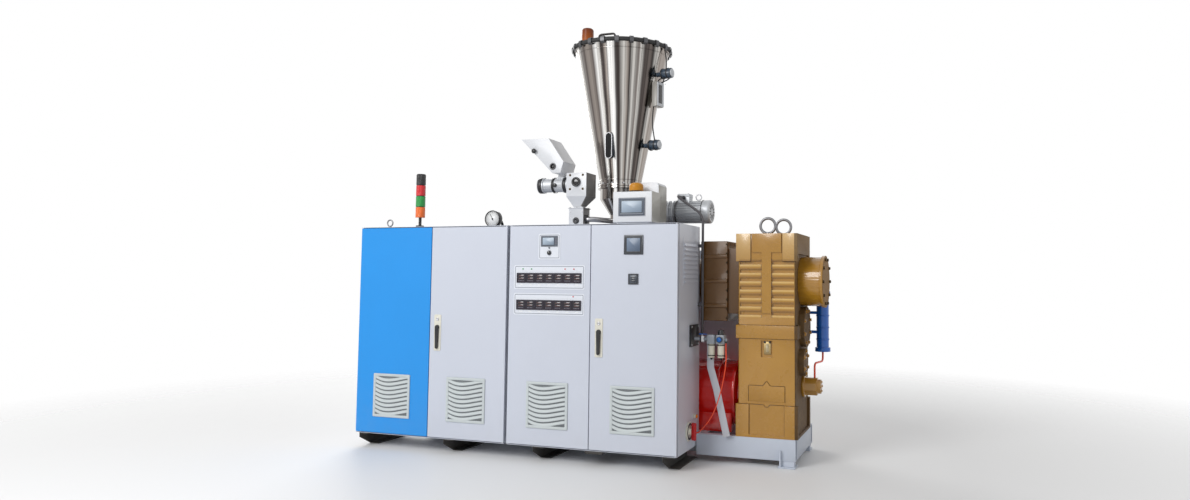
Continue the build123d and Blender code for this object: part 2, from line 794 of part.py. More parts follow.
with BuildPart() as gearbox_casing:
    with BuildSketch(level(base_top)):
        with Locations((core_left, core_front)):
            Rectangle(core_right - core_left, core_rear - core_front, align=low_corner)
    extrude(amount=casing_top - base_top)
    fillet(gearbox_casing.edges().filter_by(Axis.Z), casting_round)
    for block_x, block_y, block_z, block_width, block_depth, block_height in casting_blocks:
        with BuildSketch(level(block_z)):
            with Locations((block_x, block_y)):
                Rectangle(block_width, block_depth, align=low_corner)
        extrude(amount=block_height)
    # Bearing caps below the round cover
    with BuildSketch(side(core_right)):
        with Locations((axis_y, axis_height - big_cap_below_axis)):
            Circle(big_cap_radius)
        with Locations((axis_y - small_cap_shift, pump_z + small_cap_above_pump)):
            Circle(small_cap_radius)
    extrude(amount=cap_reach)
    # Front and rear faces carry the same relief
    for face_y, inward in ((core_front, 1), (core_rear, -1)):
        slot_middle_z = rib_field_bottom + (rib_count - 1) * rib_pitch / 2
        with BuildSketch(front(face_y)):
            for side_sign in (-1, 1):
                slot_x = casing_middle + side_sign * (rib_column_width + rib_length) / 2
                with Locations((slot_x, slot_middle_z)):
                    with GridLocations(rib_pitch, rib_pitch, 1, rib_count):
                        Rectangle(rib_length, rib_gap)
            with Locations((casing_middle, pocket_bottom + pocket_height / 2)):
                Rectangle(pocket_width, pocket_height)
        extrude(amount=-inward * pocket_depth, mode=Mode.SUBTRACT)
        with BuildSketch(front(face_y)):
            with Locations((casing_left + top_pad_left, top_pad_bottom)):
                Rectangle(top_pad_width, top_pad_height, align=low_corner)
            with Locations((casing_middle, (top_pad_bottom + rib_field_bottom) / 2)):
                Rectangle(rib_column_width, top_pad_bottom - rib_field_bottom)
        extrude(amount=inward * face_pad)
        with BuildSketch(front(face_y)):
            with BuildLine():
                Polyline(
                    (casing_middle - house_width / 2, house_bottom),
                    (casing_middle + house_width / 2, house_bottom),
                    (casing_middle + house_width / 2, house_eaves),
                    (casing_middle + house_ridge_half, house_eaves),
                    (casing_middle, house_ridge),
                    (casing_middle - house_ridge_half, house_eaves),
                    (casing_middle - house_width / 2, house_eaves),
                    close=True,
                )
            make_face()
        extrude(amount=inward * house_reach)
save(gearbox_casing.part, "gearbox_casing")

# Round cover on the gearbox's end, with a bolted flange
cover_radius = 174.0
cover_flange_radius = 184.0
cover_flange = 24.0
cover_bolt_radius = 11.0
cover_bolt_head = 12.0
cover_reach = end_reach - cover_bolt_head
cover_bolt_count = 10
cover_bolt_circle = 2 * (cover_flange_radius - 2 * cover_bolt_radius)

with BuildPart() as gearbox_cover:
    with BuildSketch(side(core_right)):
        with Locations((axis_y, axis_height)):
            Circle(cover_radius)
    extrude(amount=casing_right + cover_reach - core_right)
    with BuildSketch(side(casing_right + cover_reach - cover_flange)):
        with Locations((axis_y, axis_height)):
            Circle(cover_flange_radius)
    extrude(amount=cover_flange)
    with BuildSketch(side(casing_right + cover_reach)):
        with Locations((axis_y, axis_height)):
            with PolarLocations(cover_bolt_circle / 2, cover_bolt_count):
                RegularPolygon(cover_bolt_radius, 6)
    extrude(amount=cover_bolt_head)
save(gearbox_cover.part, "gearbox_cover")

# Distribution box between the gearbox and the barrel
box_left_from_cabinet = 15.0
box_left = cabinet_right + box_left_from_cabinet
lantern_length = 170.0
lantern_radius = 160.0
lantern_left = box_left - lantern_length
box_half_height = 284.0
box_half_depth = 208.0
box_flange = 95.0
box_flange_half_height = 232.0
box_flange_half_depth = 170.0
box_seam_reach = 8.0
box_seam_width = 26.0
box_seam_shares = [-0.62, 0.0, 0.62]
box_right = core_left - box_flange

with BuildPart() as distribution_box:
    with BuildSketch(side(box_left)):
        with Locations((axis_y, axis_height)):
            Rectangle(2 * (box_half_depth - box_seam_reach), 2 * box_half_height)
    extrude(amount=box_right - box_left)
    with BuildSketch(side(box_left)):
        for share in box_seam_shares:
            with Locations((axis_y, axis_height + share * box_half_height)):
                Rectangle(2 * box_half_depth, box_seam_width)
    extrude(amount=box_right - box_left)
    with BuildSketch(side(box_right)):
        with Locations((axis_y, axis_height)):
            Rectangle(2 * box_flange_half_depth, 2 * box_flange_half_height)
    extrude(amount=box_flange)
    with BuildSketch(side(lantern_left)):
        with Locations((axis_y, axis_height)):
            Circle(lantern_radius)
    extrude(amount=lantern_length)
save(distribution_box.part, "distribution_box")

# Drive motor under the barrel line, flanged to the gearbox
motor_clearance = 22.0
motor_rise = 252.0
motor_z = base_top + motor_rise
motor_radius = 243.0
motor_left_from_left = 2030.0
motor_left = left + motor_left_from_left
motor_right_from_cabinet = 250.0
motor_right = cabinet_right + motor_right_from_cabinet
motor_rim = 22.0
motor_rim_height = 8.0
motor_end_round = 40.0
coupling_radius = 130.0
motor_y = cabinet_rear + motor_clearance + motor_radius
motor_foot_width = 90.0
motor_foot_offset = 175.0
motor_foot_length = 640.0

with BuildPart() as drive_motor:
    with BuildSketch(side(motor_left)):
        with Locations((motor_y, motor_z)):
            Circle(motor_radius - motor_rim_height)
    extrude(amount=motor_right - motor_left)
    fillet(drive_motor.faces().sort_by(Axis.X)[0].edges(), motor_end_round)
    for rim_x in (motor_left + 2 * motor_end_round, motor_right - motor_rim):
        with BuildSketch(side(rim_x)):
            with Locations((motor_y, motor_z)):
                Circle(motor_radius)
        extrude(amount=motor_rim)
    with BuildSketch(side(motor_right)):
        with Locations((motor_y, motor_z)):
            Circle(coupling_radius)
    extrude(amount=core_left - motor_right)
    motor_foot_x = motor_right - motor_rim - motor_foot_length / 2
    with BuildSketch(level(base_top)):
        for foot_sign in (-1, 1):
            with Locations((motor_foot_x, motor_y + foot_sign * motor_foot_offset)):
                Rectangle(motor_foot_length, motor_foot_width)
    extrude(amount=motor_z - motor_radius / 2 - base_top)
save(drive_motor.part, "drive_motor")

# Oil cooler: an upright tube with end flanges, held by two arms from the casing
cooler_from_casing = 100.0
cooler_x = casing_right + cooler_from_casing
cooler_from_axis = 218.0
cooler_y = axis_y + cooler_from_axis
cooler_radius = 45.0
cooler_flange_radius = 56.0
cooler_flange = 30.0
cooler_above_pump = 233.0
cooler_bottom = pump_z + cooler_above_pump
cooler_below_axis = 72.0
cooler_top = axis_height - cooler_below_axis
cooler_height = cooler_top - cooler_bottom
cooler_arm_height = 20.0
cooler_arm_width = 50.0
cooler_arm_shares = [0.3, 0.62]

with BuildPart() as oil_cooler:
    with BuildSketch(level(cooler_bottom)):
        with Locations((cooler_x, cooler_y)):
            Circle(cooler_radius)
    extrude(amount=cooler_height)
    for flange_bottom in (cooler_bottom, cooler_top - cooler_flange):
        with BuildSketch(level(flange_bottom)):
            with Locations((cooler_x, cooler_y)):
                Circle(cooler_flange_radius)
        extrude(amount=cooler_flange)
    for share in cooler_arm_shares:
        arm_bottom = cooler_bottom + share * cooler_height
        arm_left = casing_right if band_bottom - cooler_arm_height < arm_bottom < band_top else core_right
        with BuildSketch(level(arm_bottom)):
            with Locations((arm_left, cooler_y - cooler_arm_width / 2)):
                Rectangle(cooler_x - arm_left, cooler_arm_width, align=low_corner)
        extrude(amount=cooler_arm_height)
save(oil_cooler.part, "oil_cooler")

# Oil pump on the casing's end, with the pipe up to the cooler
pump_from_axis = 40.0
pump_y = axis_y + pump_from_axis
pump_radius = 66.0
pump_body = 105.0
pump_cap_radius = 50.0
pump_cap = 26.0
pump_boss_radius = 78.0
pump_boss = 18.0
oil_pipe_radius = 7.0
oil_pipe_bend = 30.0
oil_pipe_x = core_right + pump_body * 4 / 5
oil_pipe_rise = 70.0

with BuildPart() as oil_pump:
    with BuildSketch(side(core_right)):
        with Locations((pump_y, pump_z)):
            Circle(pump_boss_radius)
    extrude(amount=pump_boss)
    with BuildSketch(side(core_right)):
        with Locations((pump_y, pump_z)):
            RegularPolygon(pump_radius, 8, rotation=octagon_turn)
    extrude(amount=pump_body)
    with BuildSketch(side(core_right + pump_body)):
        with Locations((pump_y, pump_z)):
            Circle(pump_cap_radius)
    extrude(amount=pump_cap)
save(oil_pump.part, "oil_pump")

oil_pipe_points = [
    (oil_pipe_x, pump_y, pump_z + pump_radius * cos(radians(octagon_turn))),
    (oil_pipe_x, pump_y, cooler_bottom - oil_pipe_rise),
    (cooler_x, cooler_y, cooler_bottom - oil_pipe_rise),
    (cooler_x, cooler_y, cooler_bottom),
]
with BuildPart() as oil_pipe:
    with BuildLine():
        oil_route = FilletPolyline(*oil_pipe_points, radius=oil_pipe_bend)
    with BuildSketch(Plane(origin=oil_pipe_points[0], z_dir=(0, 0, 1))):
        Circle(oil_pipe_radius)
    sweep(path=oil_route)
save(oil_pipe.part, "oil_pipe")

# Barrel on the screw axis, from the distribution box to the die
barrel_front_from_left = 460.0
barrel_front = left + barrel_front_from_left
barrel_radius = 112.0
barrel_rear_flange_radius = 160.0
barrel_rear_flange = 45.0
barrel_front_flange_radius = 160.0
barrel_front_flange = 40.0
throat_length = 280.0
throat_width = 210.0
throat_rise = 168.0
throat_top = axis_height + throat_rise
vent_from_left = 825.0
vent_x = left + vent_from_left
vent_radius = 70.0

with BuildPart() as barrel:
    with BuildSketch(side(barrel_front)):
        with Locations((axis_y, axis_height)):
            Circle(barrel_radius)
    extrude(amount=lantern_left - barrel_front)
    with BuildSketch(side(lantern_left)):
        with Locations((axis_y, axis_height)):
            Circle(barrel_rear_flange_radius)
    extrude(amount=-barrel_rear_flange)
    with BuildSketch(side(barrel_front)):
        with Locations((axis_y, axis_height)):
            Circle(barrel_front_flange_radius)
    extrude(amount=barrel_front_flange)
    with BuildSketch(level(axis_height)):
        with Locations((hopper_x, axis_y)):
            Rectangle(throat_length, throat_width)
        with Locations((vent_x, axis_y)):
            Circle(vent_radius)
    extrude(amount=throat_top - axis_height)
save(barrel.part, "barrel")

# Heater shells round the barrel, finned for the cooling air
heater_radius = 165.0
heater_fin_gap = 20.0
heater_fin_pitch = 55.0
heater_fin_depth = 22.0
heater_clearance = 5.0
heater_split_from_left = 1275.0
heater_split = left + heater_split_from_left
heater_split_half = 15.0
heater_spans = [
    (barrel_front + barrel_front_flange + heater_clearance, vent_x - vent_radius - 2 * heater_clearance),
    (vent_x + vent_radius + 2 * heater_clearance, heater_split - heater_split_half),
    (heater_split + heater_split_half, hopper_x - throat_length / 2 - 2 * heater_clearance),
]

with BuildPart() as barrel_heaters:
    for heater_left, heater_right in heater_spans:
        with BuildSketch(side(heater_left)):
            with Locations((axis_y, axis_height)):
                Circle(heater_radius)
                Circle(barrel_radius + seat_gap, mode=Mode.SUBTRACT)
        extrude(amount=heater_right - heater_left)
        fin_count = int((heater_right - heater_left) / heater_fin_pitch) - 1
        for fin in range(fin_count):
            with BuildSketch(side(heater_left + (fin + 1) * heater_fin_pitch)):
                with Locations((axis_y, axis_height)):
                    Circle(heater_radius)
                    Circle(heater_radius - heater_fin_depth, mode=Mode.SUBTRACT)
            extrude(amount=heater_fin_gap, mode=Mode.SUBTRACT)
save(barrel_heaters.part, "barrel_heaters")

# Die flange at the outlet: eight holes on a circle round the bore
die_flange_thickness = 40.0
die_flange_radius = 160.0
die_bore_radius = 45.0
die_hole_circle = 260.0
die_hole_radius = 11.0
die_hole_count = 8

with BuildPart() as die_flange:
    with BuildSketch(side(barrel_front - die_flange_thickness)):
        with Locations((axis_y, axis_height)):
            Circle(die_flange_radius)
            Circle(die_bore_radius, mode=Mode.SUBTRACT)
            with PolarLocations(die_hole_circle / 2, die_hole_count):
                Circle(die_hole_radius, mode=Mode.SUBTRACT)
    extrude(amount=die_flange_thickness)
save(die_flange.part, "die_flange")

# Barrel stands: tapered plates with a saddle for the barrel
stand_thickness = 24.0
stand_foot_half = 170.0
stand_head_half = 130.0

with BuildPart() as barrel_stands:
    for stand_x in barrel_stand_xs:
        saddle_radius = barrel_radius if stand_x > vent_x else heater_radius
        with BuildSketch(side(stand_x - stand_thickness / 2)):
            with BuildLine():
                Polyline(
                    (axis_y - stand_foot_half, base_top),
                    (axis_y + stand_foot_half, base_top),
                    (axis_y + stand_head_half, axis_height - barrel_radius / 2),
                    (axis_y - stand_head_half, axis_height - barrel_radius / 2),
                    close=True,
                )
            make_face()
            with Locations((axis_y, axis_height)):
                Circle(saddle_radius + seat_gap, mode=Mode.SUBTRACT)
        extrude(amount=stand_thickness)
save(barrel_stands.part, "barrel_stands")

# Rear guard: folded panels on posts that stand on the rear rail
guard_post = 40.0
guard_rise = 238.0
guard_top = axis_height + guard_rise
guard_foot_gap = 450.0
guard_bottom = base_top + guard_foot_gap
guard_sheet = 2.0
guard_joint = 6.0
guard_right_from_cabinet = 280.0
guard_right = cabinet_right + guard_right_from_cabinet
guard_bay_count = 3
post_y = base_rear - rail_width / 2
guard_pitch = (guard_right - guard_post - base_left) / guard_bay_count

with BuildPart() as guard_posts:
    with BuildSketch(level(base_top)):
        for post in range(guard_bay_count + 1):
            with Locations((base_left + guard_post / 2 + post * guard_pitch, post_y)):
                Rectangle(guard_post, guard_post)
    extrude(amount=guard_top - base_top)
save(guard_posts.part, "guard_posts")

with BuildPart() as rear_guard:
    for bay in range(guard_bay_count):
        panel_left = base_left + guard_post / 2 + bay * guard_pitch + guard_joint / 2
        with BuildSketch(level(guard_bottom)):
            with Locations((panel_left, post_y - guard_post / 2 - guard_sheet)):
                Rectangle(guard_pitch - guard_joint, guard_sheet, align=low_corner)
        extrude(amount=guard_top - guard_bottom)
save(rear_guard.part, "rear_guard")

# Vacuum gauge: a dial on a pipe that rises from the barrel's vent
gauge_pipe_radius = 11.0
gauge_pipe_bend = 60.0
gauge_rise = 90.0
gauge_z = roof_top + gauge_rise
gauge_behind_cabinet = 40.0
gauge_y = cabinet_rear + gauge_behind_cabinet
gauge_radius = 68.0
gauge_depth = 42.0
gauge_rim = 6.0
gauge_glass_drop = 5.0
gauge_pipe_points = [
    (vent_x, axis_y, throat_top),
    (vent_x, axis_y, gauge_z),
    (vent_x, gauge_y + gauge_depth / 2, gauge_z),
]

with BuildPart() as vacuum_gauge:
    with BuildLine():
        gauge_route = FilletPolyline(*gauge_pipe_points, radius=gauge_pipe_bend)
    with BuildSketch(Plane(origin=gauge_pipe_points[0], z_dir=(0, 0, 1))):
        Circle(gauge_pipe_radius)
    sweep(path=gauge_route)
    with BuildSketch(front(gauge_y + gauge_depth / 2)):
        with Locations((vent_x, gauge_z)):
            Circle(gauge_radius)
    extrude(amount=gauge_depth)
    with BuildSketch(front(gauge_y - gauge_depth / 2)):
        with Locations((vent_x, gauge_z)):
            Circle(gauge_radius - gauge_rim)
    extrude(amount=-gauge_glass_drop, mode=Mode.SUBTRACT)
save(vacuum_gauge.part, "vacuum_gauge")

# Feeder throat: the stainless body under the hopper and the metering tube beside it
feed_flange = 16.0
feed_neck_radius = 80.0
feed_flange_radius = 104.0
feed_neck_rise = 110.0
feed_neck_top = roof_top + feed_neck_rise
feed_cone_height = 120.0
feed_cone_top = feed_neck_top + feed_cone_height
feed_body_radius = 157.0
clamp_radius = 172.0
clamp_height = 18.0
feed_tube_rise = 125.0
feed_tube_z = roof_top + feed_tube_rise
feed_tube_radius = 74.0
feed_tube_length = 354.0
feed_tube_flange = 14.0

with BuildPart() as feeder_throat:
    with BuildSketch(front(axis_y)):
        with BuildLine():
            Polyline(
                (hopper_x, throat_top),
                (hopper_x + feed_flange_radius, throat_top),
                (hopper_x + feed_flange_radius, throat_top + feed_flange),
                (hopper_x + feed_neck_radius, throat_top + feed_flange),
                (hopper_x + feed_neck_radius, feed_neck_top),
                (hopper_x + feed_body_radius, feed_cone_top),
                (hopper_x + feed_body_radius, hopper_bottom - clamp_height),
                (hopper_x + clamp_radius, hopper_bottom - clamp_height),
                (hopper_x + clamp_radius, hopper_bottom),
                (hopper_x, hopper_bottom),
                close=True,
            )
        make_face()
    revolve(axis=Axis((hopper_x, axis_y, 0), (0, 0, 1)))
    with BuildSketch(side(hopper_x)):
        with Locations((axis_y, feed_tube_z)):
            Circle(feed_tube_radius)
    extrude(amount=feed_tube_length)
    with BuildSketch(side(hopper_x + feed_tube_length - feed_tube_flange)):
        with Locations((axis_y, feed_tube_z)):
            Circle(feed_flange_radius)
    extrude(amount=feed_tube_flange)
save(feeder_throat.part, "feeder_throat")

# Feeder gear motor: gearbox, finned motor, fan cowl and terminal box
feed_gear_length = 118.0
feed_gear_radius = 84.0
feed_motor_radius = 84.0
feed_motor_length = 205.0
feed_cowl_radius = 88.0
feed_cowl_length = 62.0
feed_fin_depth = 8.0
feed_fin_count = 24
feed_fin_gap = 10.0
terminal_width = 92.0
terminal_depth = 84.0
terminal_rise = 133.0
terminal_top = feed_tube_z + terminal_rise
feed_gear_left = hopper_x + feed_tube_length
feed_motor_left = feed_gear_left + feed_gear_length
feed_cowl_left = feed_motor_left + feed_motor_length

with BuildPart() as feeder_gearmotor:
    with BuildSketch(side(feed_gear_left)):
        with Locations((axis_y, feed_tube_z)):
            RegularPolygon(feed_gear_radius, 8, rotation=octagon_turn)
    extrude(amount=feed_gear_length)
    with BuildSketch(side(feed_motor_left)):
        with Locations((axis_y, feed_tube_z)):
            Circle(feed_motor_radius)
            with PolarLocations(feed_motor_radius, feed_fin_count):
                Rectangle(2 * feed_fin_depth, feed_fin_gap, mode=Mode.SUBTRACT)
    extrude(amount=feed_motor_length)
    with BuildSketch(side(feed_cowl_left)):
        with Locations((axis_y, feed_tube_z)):
            Circle(feed_cowl_radius)
    extrude(amount=feed_cowl_length)
    fillet(feeder_gearmotor.faces().sort_by(Axis.X)[-1].edges(), feed_cowl_length / 4)
    with BuildSketch(level(feed_tube_z)):
        with Locations((feed_motor_left + terminal_width / 2 + feed_fin_gap, axis_y)):
            Rectangle(terminal_width, terminal_depth)
    extrude(amount=terminal_top - feed_tube_z)
save(feeder_gearmotor.part, "feeder_gearmotor")

# Hopper: a thin cone with a rolled rim and a foot flange
hopper_sheet = 3.0
hopper_bottom_radius = 157.0
hopper_top_radius = 364.0
rim_reach = 10.0
rim_height = 22.0
hopper_clamp = 18.0

with BuildPart() as hopper:
    with BuildSketch(front(axis_y)):
        with BuildLine():
            Polyline(
                (hopper_x + hopper_bottom_radius - hopper_sheet, hopper_bottom),
                (hopper_x + clamp_radius, hopper_bottom),
                (hopper_x + clamp_radius, hopper_bottom + hopper_clamp),
                (hopper_x + hopper_bottom_radius, hopper_bottom + hopper_clamp),
                (hopper_x + hopper_top_radius, hopper_top - rim_height),
                (hopper_x + hopper_top_radius + rim_reach, hopper_top - rim_height),
                (hopper_x + hopper_top_radius + rim_reach, hopper_top),
                (hopper_x + hopper_top_radius - hopper_sheet, hopper_top),
                (hopper_x + hopper_top_radius - hopper_sheet, hopper_top - rim_height),
                (hopper_x + hopper_bottom_radius - hopper_sheet, hopper_bottom + hopper_clamp),
                close=True,
            )
        make_face()
    revolve(axis=Axis((hopper_x, axis_y, 0), (0, 0, 1)))
save(hopper.part, "hopper")

# Lid: a lift-off disc with a bent handle
lid_sheet = 4.0
lid_overhang = 4.0
lid_radius = hopper_top_radius + rim_reach + lid_overhang
lid_handle_from_axis = 300.0
lid_handle_y = axis_y - lid_handle_from_axis
lid_handle_half = 64.0
lid_handle_height = 46.0
lid_handle_wire = 8.0
lid_handle_bend = 18.0
lid_top = hopper_top + lid_sheet
lid_handle_points = [
    (hopper_x - lid_handle_half, lid_handle_y, lid_top),
    (hopper_x - lid_handle_half, lid_handle_y, lid_top + lid_handle_height),
    (hopper_x + lid_handle_half, lid_handle_y, lid_top + lid_handle_height),
    (hopper_x + lid_handle_half, lid_handle_y, lid_top),
]

with BuildPart() as hopper_lid:
    with BuildSketch(level(hopper_top)):
        with Locations((hopper_x, axis_y)):
            Circle(lid_radius)
    extrude(amount=lid_sheet)
    with BuildLine():
        handle_route = FilletPolyline(*lid_handle_points, radius=lid_handle_bend)
    with BuildSketch(Plane(origin=lid_handle_points[0], z_dir=(0, 0, 1))):
        Circle(lid_handle_wire)
    sweep(path=handle_route)
save(hopper_lid.part, "hopper_lid")

# Hopper fittings: sight glass on the front, level sensors and their terminal box on the right
window_width = 56.0
window_rise = 195.0
window_bottom = hopper_bottom + window_rise
window_height = 200.0
window_reach = 14.0
sensor_radius = 38.0
sensor_neck_radius = 18.0
sensor_neck = 46.0
sensor_body = 88.0
sensor_angle = -13.0
low_sensor_rise = 312.0
high_sensor_rise = 850.0
sensor_heights = [hopper_bottom + low_sensor_rise, hopper_bottom + high_sensor_rise]
terminal_block_rise = 696.0
terminal_block_z = hopper_bottom + terminal_block_rise
terminal_block_width = 90.0
terminal_block_height = 190.0
terminal_block_depth = 46.0
cone_slope = (hopper_top_radius - hopper_bottom_radius) / (hopper_top - rim_height - hopper_bottom - hopper_clamp)


def cone_radius(z):
    """The cone's outer radius at height z."""
    return hopper_bottom_radius + cone_slope * (z - hopper_bottom - hopper_clamp)


def cone_plane(z, angle):
    """The upright plane that touches the cone at height z, facing outwards at an angle from +X."""
    reach = cone_radius(z)
    outward = Vector(cos(radians(angle)), sin(radians(angle)), 0)
    origin = Vector(hopper_x, axis_y, z) + outward * reach
    return Plane(origin=origin, x_dir=outward.cross(Vector(0, 0, -1)), z_dir=outward)


with BuildPart() as hopper_fittings:
    for sensor_z in sensor_heights:
        touch = cone_plane(sensor_z, sensor_angle)
        neck_start = touch.offset(sensor_neck_radius * cone_slope + seat_gap)
        with BuildSketch(neck_start):
            Circle(sensor_neck_radius)
        extrude(amount=sensor_neck)
        with BuildSketch(neck_start.offset(sensor_neck)):
            Circle(sensor_radius)
        extrude(amount=sensor_body)
    block_touch = cone_plane(terminal_block_z, sensor_angle)
    with BuildSketch(block_touch.offset(terminal_block_height / 2 * cone_slope + seat_gap)):
        Rectangle(terminal_block_width, terminal_block_height)
    extrude(amount=terminal_block_depth)
    window_touch = cone_plane(window_bottom + window_height / 2, -90.0)
    with BuildSketch(window_touch.offset(window_height / 2 * cone_slope + seat_gap)):
        SlotOverall(window_height, window_width, rotation=90)
    extrude(amount=window_reach)
save(hopper_fittings.part, "hopper_fittings")

# Feeder control box on the roof, with a screen, and the beacons
feeder_box_left_from_left = 2044.0
feeder_box_left = left + feeder_box_left_from_left
feeder_box_width = 292.0
feeder_box_front_setback = 100.0
feeder_box_front = door_front + feeder_box_front_setback
feeder_box_depth = 170.0
feeder_box_height = 230.0
feeder_box_top = roof_top + feeder_box_height
feeder_box_foot = 14.0
feeder_tall_left_from_left = 2158.0
feeder_tall_left = left + feeder_tall_left_from_left
feeder_tall_width = 166.0
feeder_tall_depth = 170.0
feeder_tall_height = 310.0
feeder_tall_top = roof_top + feeder_tall_height
feeder_screen_width = 202.0
feeder_screen_height = 131.0
feeder_screen_left_from_left = 2086.0
feeder_screen_left = left + feeder_screen_left_from_left
feeder_screen_rise = 57.0
feeder_screen_bottom = roof_top + feeder_screen_rise
feeder_box_round = 6.0
feeder_tall_round = 30.0

with BuildPart() as feeder_box:
    with BuildSketch(level(roof_top + feeder_box_foot)):
        with Locations((feeder_box_left, feeder_box_front)):
            Rectangle(feeder_box_width, feeder_box_depth, align=low_corner)
    extrude(amount=feeder_box_top - roof_top - feeder_box_foot)
    fillet(feeder_box.faces().sort_by(Axis.Y)[0].edges(), feeder_box_round)
    with BuildSketch(front(feeder_box_front + feeder_box_depth + feeder_tall_depth)):
        with BuildLine():
            Polyline(
                (feeder_tall_left, roof_top + feeder_box_foot),
                (feeder_tall_left + feeder_tall_width, roof_top + feeder_box_foot),
                (feeder_tall_left + feeder_tall_width, feeder_tall_top - feeder_tall_round),
            )
            RadiusArc(
                (feeder_tall_left + feeder_tall_width, feeder_tall_top - feeder_tall_round),
                (feeder_tall_left + feeder_tall_width - feeder_tall_round, feeder_tall_top),
                -feeder_tall_round,
            )
            Polyline(
                (feeder_tall_left + feeder_tall_width - feeder_tall_round, feeder_tall_top),
                (feeder_tall_left, feeder_tall_top),
                (feeder_tall_left, roof_top + feeder_box_foot),
            )
        make_face()
    extrude(amount=feeder_tall_depth)
    with BuildSketch(level(roof_top)):
        with Locations((feeder_box_left + feeder_box_width / 2, feeder_box_front + feeder_box_depth / 2)):
            Rectangle(feeder_box_width - 4 * feeder_box_foot, feeder_box_depth - 4 * feeder_box_foot)
    extrude(amount=feeder_box_foot)
    with BuildSketch(front(feeder_box_front)):
        with Locations((feeder_screen_left, feeder_screen_bottom)):
            Rectangle(feeder_screen_width, feeder_screen_height, align=low_corner)
    extrude(amount=feeder_box_round)
save(feeder_box.part, "feeder_box")

dome_from_left = 2186.0
dome_x = left + dome_from_left
dome_y = feeder_box_front + feeder_box_depth / 2
dome_radius = 50.0
dome_height = 68.0
beacon_from_hopper = 280.0
beacon_x = hopper_x - beacon_from_hopper
beacon_from_axis = 40.0
beacon_y = axis_y - beacon_from_axis
beacon_radius = 47.0
beacon_height = 190.0
beacon_round = 22.0

with BuildPart() as beacons:
    with BuildSketch(level(feeder_box_top)):
        with Locations((dome_x, dome_y)):
            Circle(dome_radius)
    extrude(amount=dome_height)
    fillet(beacons.faces().sort_by(Axis.Z)[-1].edges(), dome_radius / 2)
    with BuildSketch(level(lid_top)):
        with Locations((beacon_x, beacon_y)):
            Circle(beacon_radius)
    extrude(amount=beacon_height)
    fillet(beacons.faces().sort_by(Axis.Z)[-1].edges(), beacon_round)
save(beacons.part, "beacons")

# Side doser on the roof: stand, body with a tapered outlet, motor, scoop hopper and feed pipe
doser_setback = 385.0
doser_y = door_front + doser_setback
doser_stand_left_from_left = 1592.0
doser_stand_left = left + doser_stand_left_from_left
doser_stand_width = 118.0
doser_stand_depth = 110.0
doser_stand_height = 140.0
doser_stand_top = roof_top + doser_stand_height
doser_taper_height = 90.0
doser_shoulder = doser_stand_top + doser_taper_height
doser_body_left_from_left = 1582.0
doser_body_left = left + doser_body_left_from_left
doser_body_width = 163.0
doser_body_depth = 170.0
doser_body_height = 174.0
doser_port_radius = 34.0
doser_port_reach = 8.0
doser_port_rise = 105.0
doser_port_z = doser_shoulder + doser_port_rise
doser_round = 6.0

with BuildPart() as doser_body:
    with BuildSketch(level(roof_top)):
        with Locations((doser_stand_left + doser_stand_width / 2, doser_y)):
            Rectangle(doser_stand_width, doser_stand_depth)
    extrude(amount=doser_stand_top - roof_top)
    body_middle_x = doser_body_left + doser_body_width / 2
    stand_middle_x = doser_stand_left + doser_stand_width / 2
    with BuildSketch(level(doser_stand_top)):
        with Locations((stand_middle_x, doser_y)):
            Rectangle(doser_stand_width + 2 * doser_round, doser_stand_depth + 2 * doser_round)
    extrude(amount=doser_round)
    with BuildSketch(level(doser_stand_top + doser_round)):
        with Locations((stand_middle_x, doser_y)):
            Rectangle(doser_stand_width / 2, doser_stand_depth / 2)
    with BuildSketch(level(doser_shoulder)):
        with Locations((body_middle_x, doser_y)):
            Rectangle(doser_body_width, doser_body_depth)
    loft()
    with BuildSketch(level(doser_shoulder)):
        with Locations((body_middle_x, doser_y)):
            Rectangle(doser_body_width, doser_body_depth)
    extrude(amount=doser_body_height)
    with BuildSketch(front(doser_y - doser_body_depth / 2)):
        with Locations((body_middle_x, doser_port_z)):
            Circle(doser_port_radius)
    extrude(amount=doser_port_reach)
save(doser_body.part, "doser_body")

doser_motor_left_from_left = 1320.0
doser_motor_left = left + doser_motor_left_from_left
doser_motor_rise = 94.0
doser_motor_z = doser_shoulder + doser_motor_rise
doser_motor_radius = 52.0
doser_cap_radius = 58.0
doser_cap_length = 46.0

scoop_front_setback = 285.0
scoop_front = door_front + scoop_front_setback
scoop_depth = 210.0
scoop_sheet = 3.0
scoop_lip_left_from_left = 1207.0
scoop_lip_left = left + scoop_lip_left_from_left
scoop_top_right_from_left = 1436.0
scoop_top_right = left + scoop_top_right_from_left
scoop_side_right_from_left = 1562.0
scoop_side_right = left + scoop_side_right_from_left
scoop_seat = 24.0
scoop_height = 264.0
scoop_knee_rise = 84.0
scoop_foot_left_from_left = 1470.0
scoop_foot_left = left + scoop_foot_left_from_left
scoop_foot_right_from_left = 1538.0
scoop_foot_right = left + scoop_foot_right_from_left
scoop_neck_radius = 30.0
scoop_bottom = doser_motor_z + doser_cap_radius + scoop_seat
scoop_top = scoop_bottom + scoop_height
scoop_knee_z = scoop_bottom + scoop_knee_rise
scoop_neck_x = (scoop_foot_left + scoop_foot_right) / 2

with BuildPart() as doser_motor:
    with BuildSketch(side(doser_motor_left)):
        with Locations((doser_y, doser_motor_z)):
            Circle(doser_motor_radius)
    extrude(amount=doser_body_left - doser_motor_left)
    for cap_left in (doser_motor_left, doser_body_left - doser_cap_length - 2 * doser_round):
        with BuildSketch(side(cap_left)):
            with Locations((doser_y, doser_motor_z)):
                Circle(doser_cap_radius)
        extrude(amount=doser_cap_length)
    with BuildSketch(level(doser_motor_z)):
        with Locations((scoop_neck_x, doser_y)):
            Rectangle(2 * scoop_neck_radius, 2 * scoop_neck_radius)
    extrude(amount=doser_cap_radius)
save(doser_motor.part, "doser_motor")

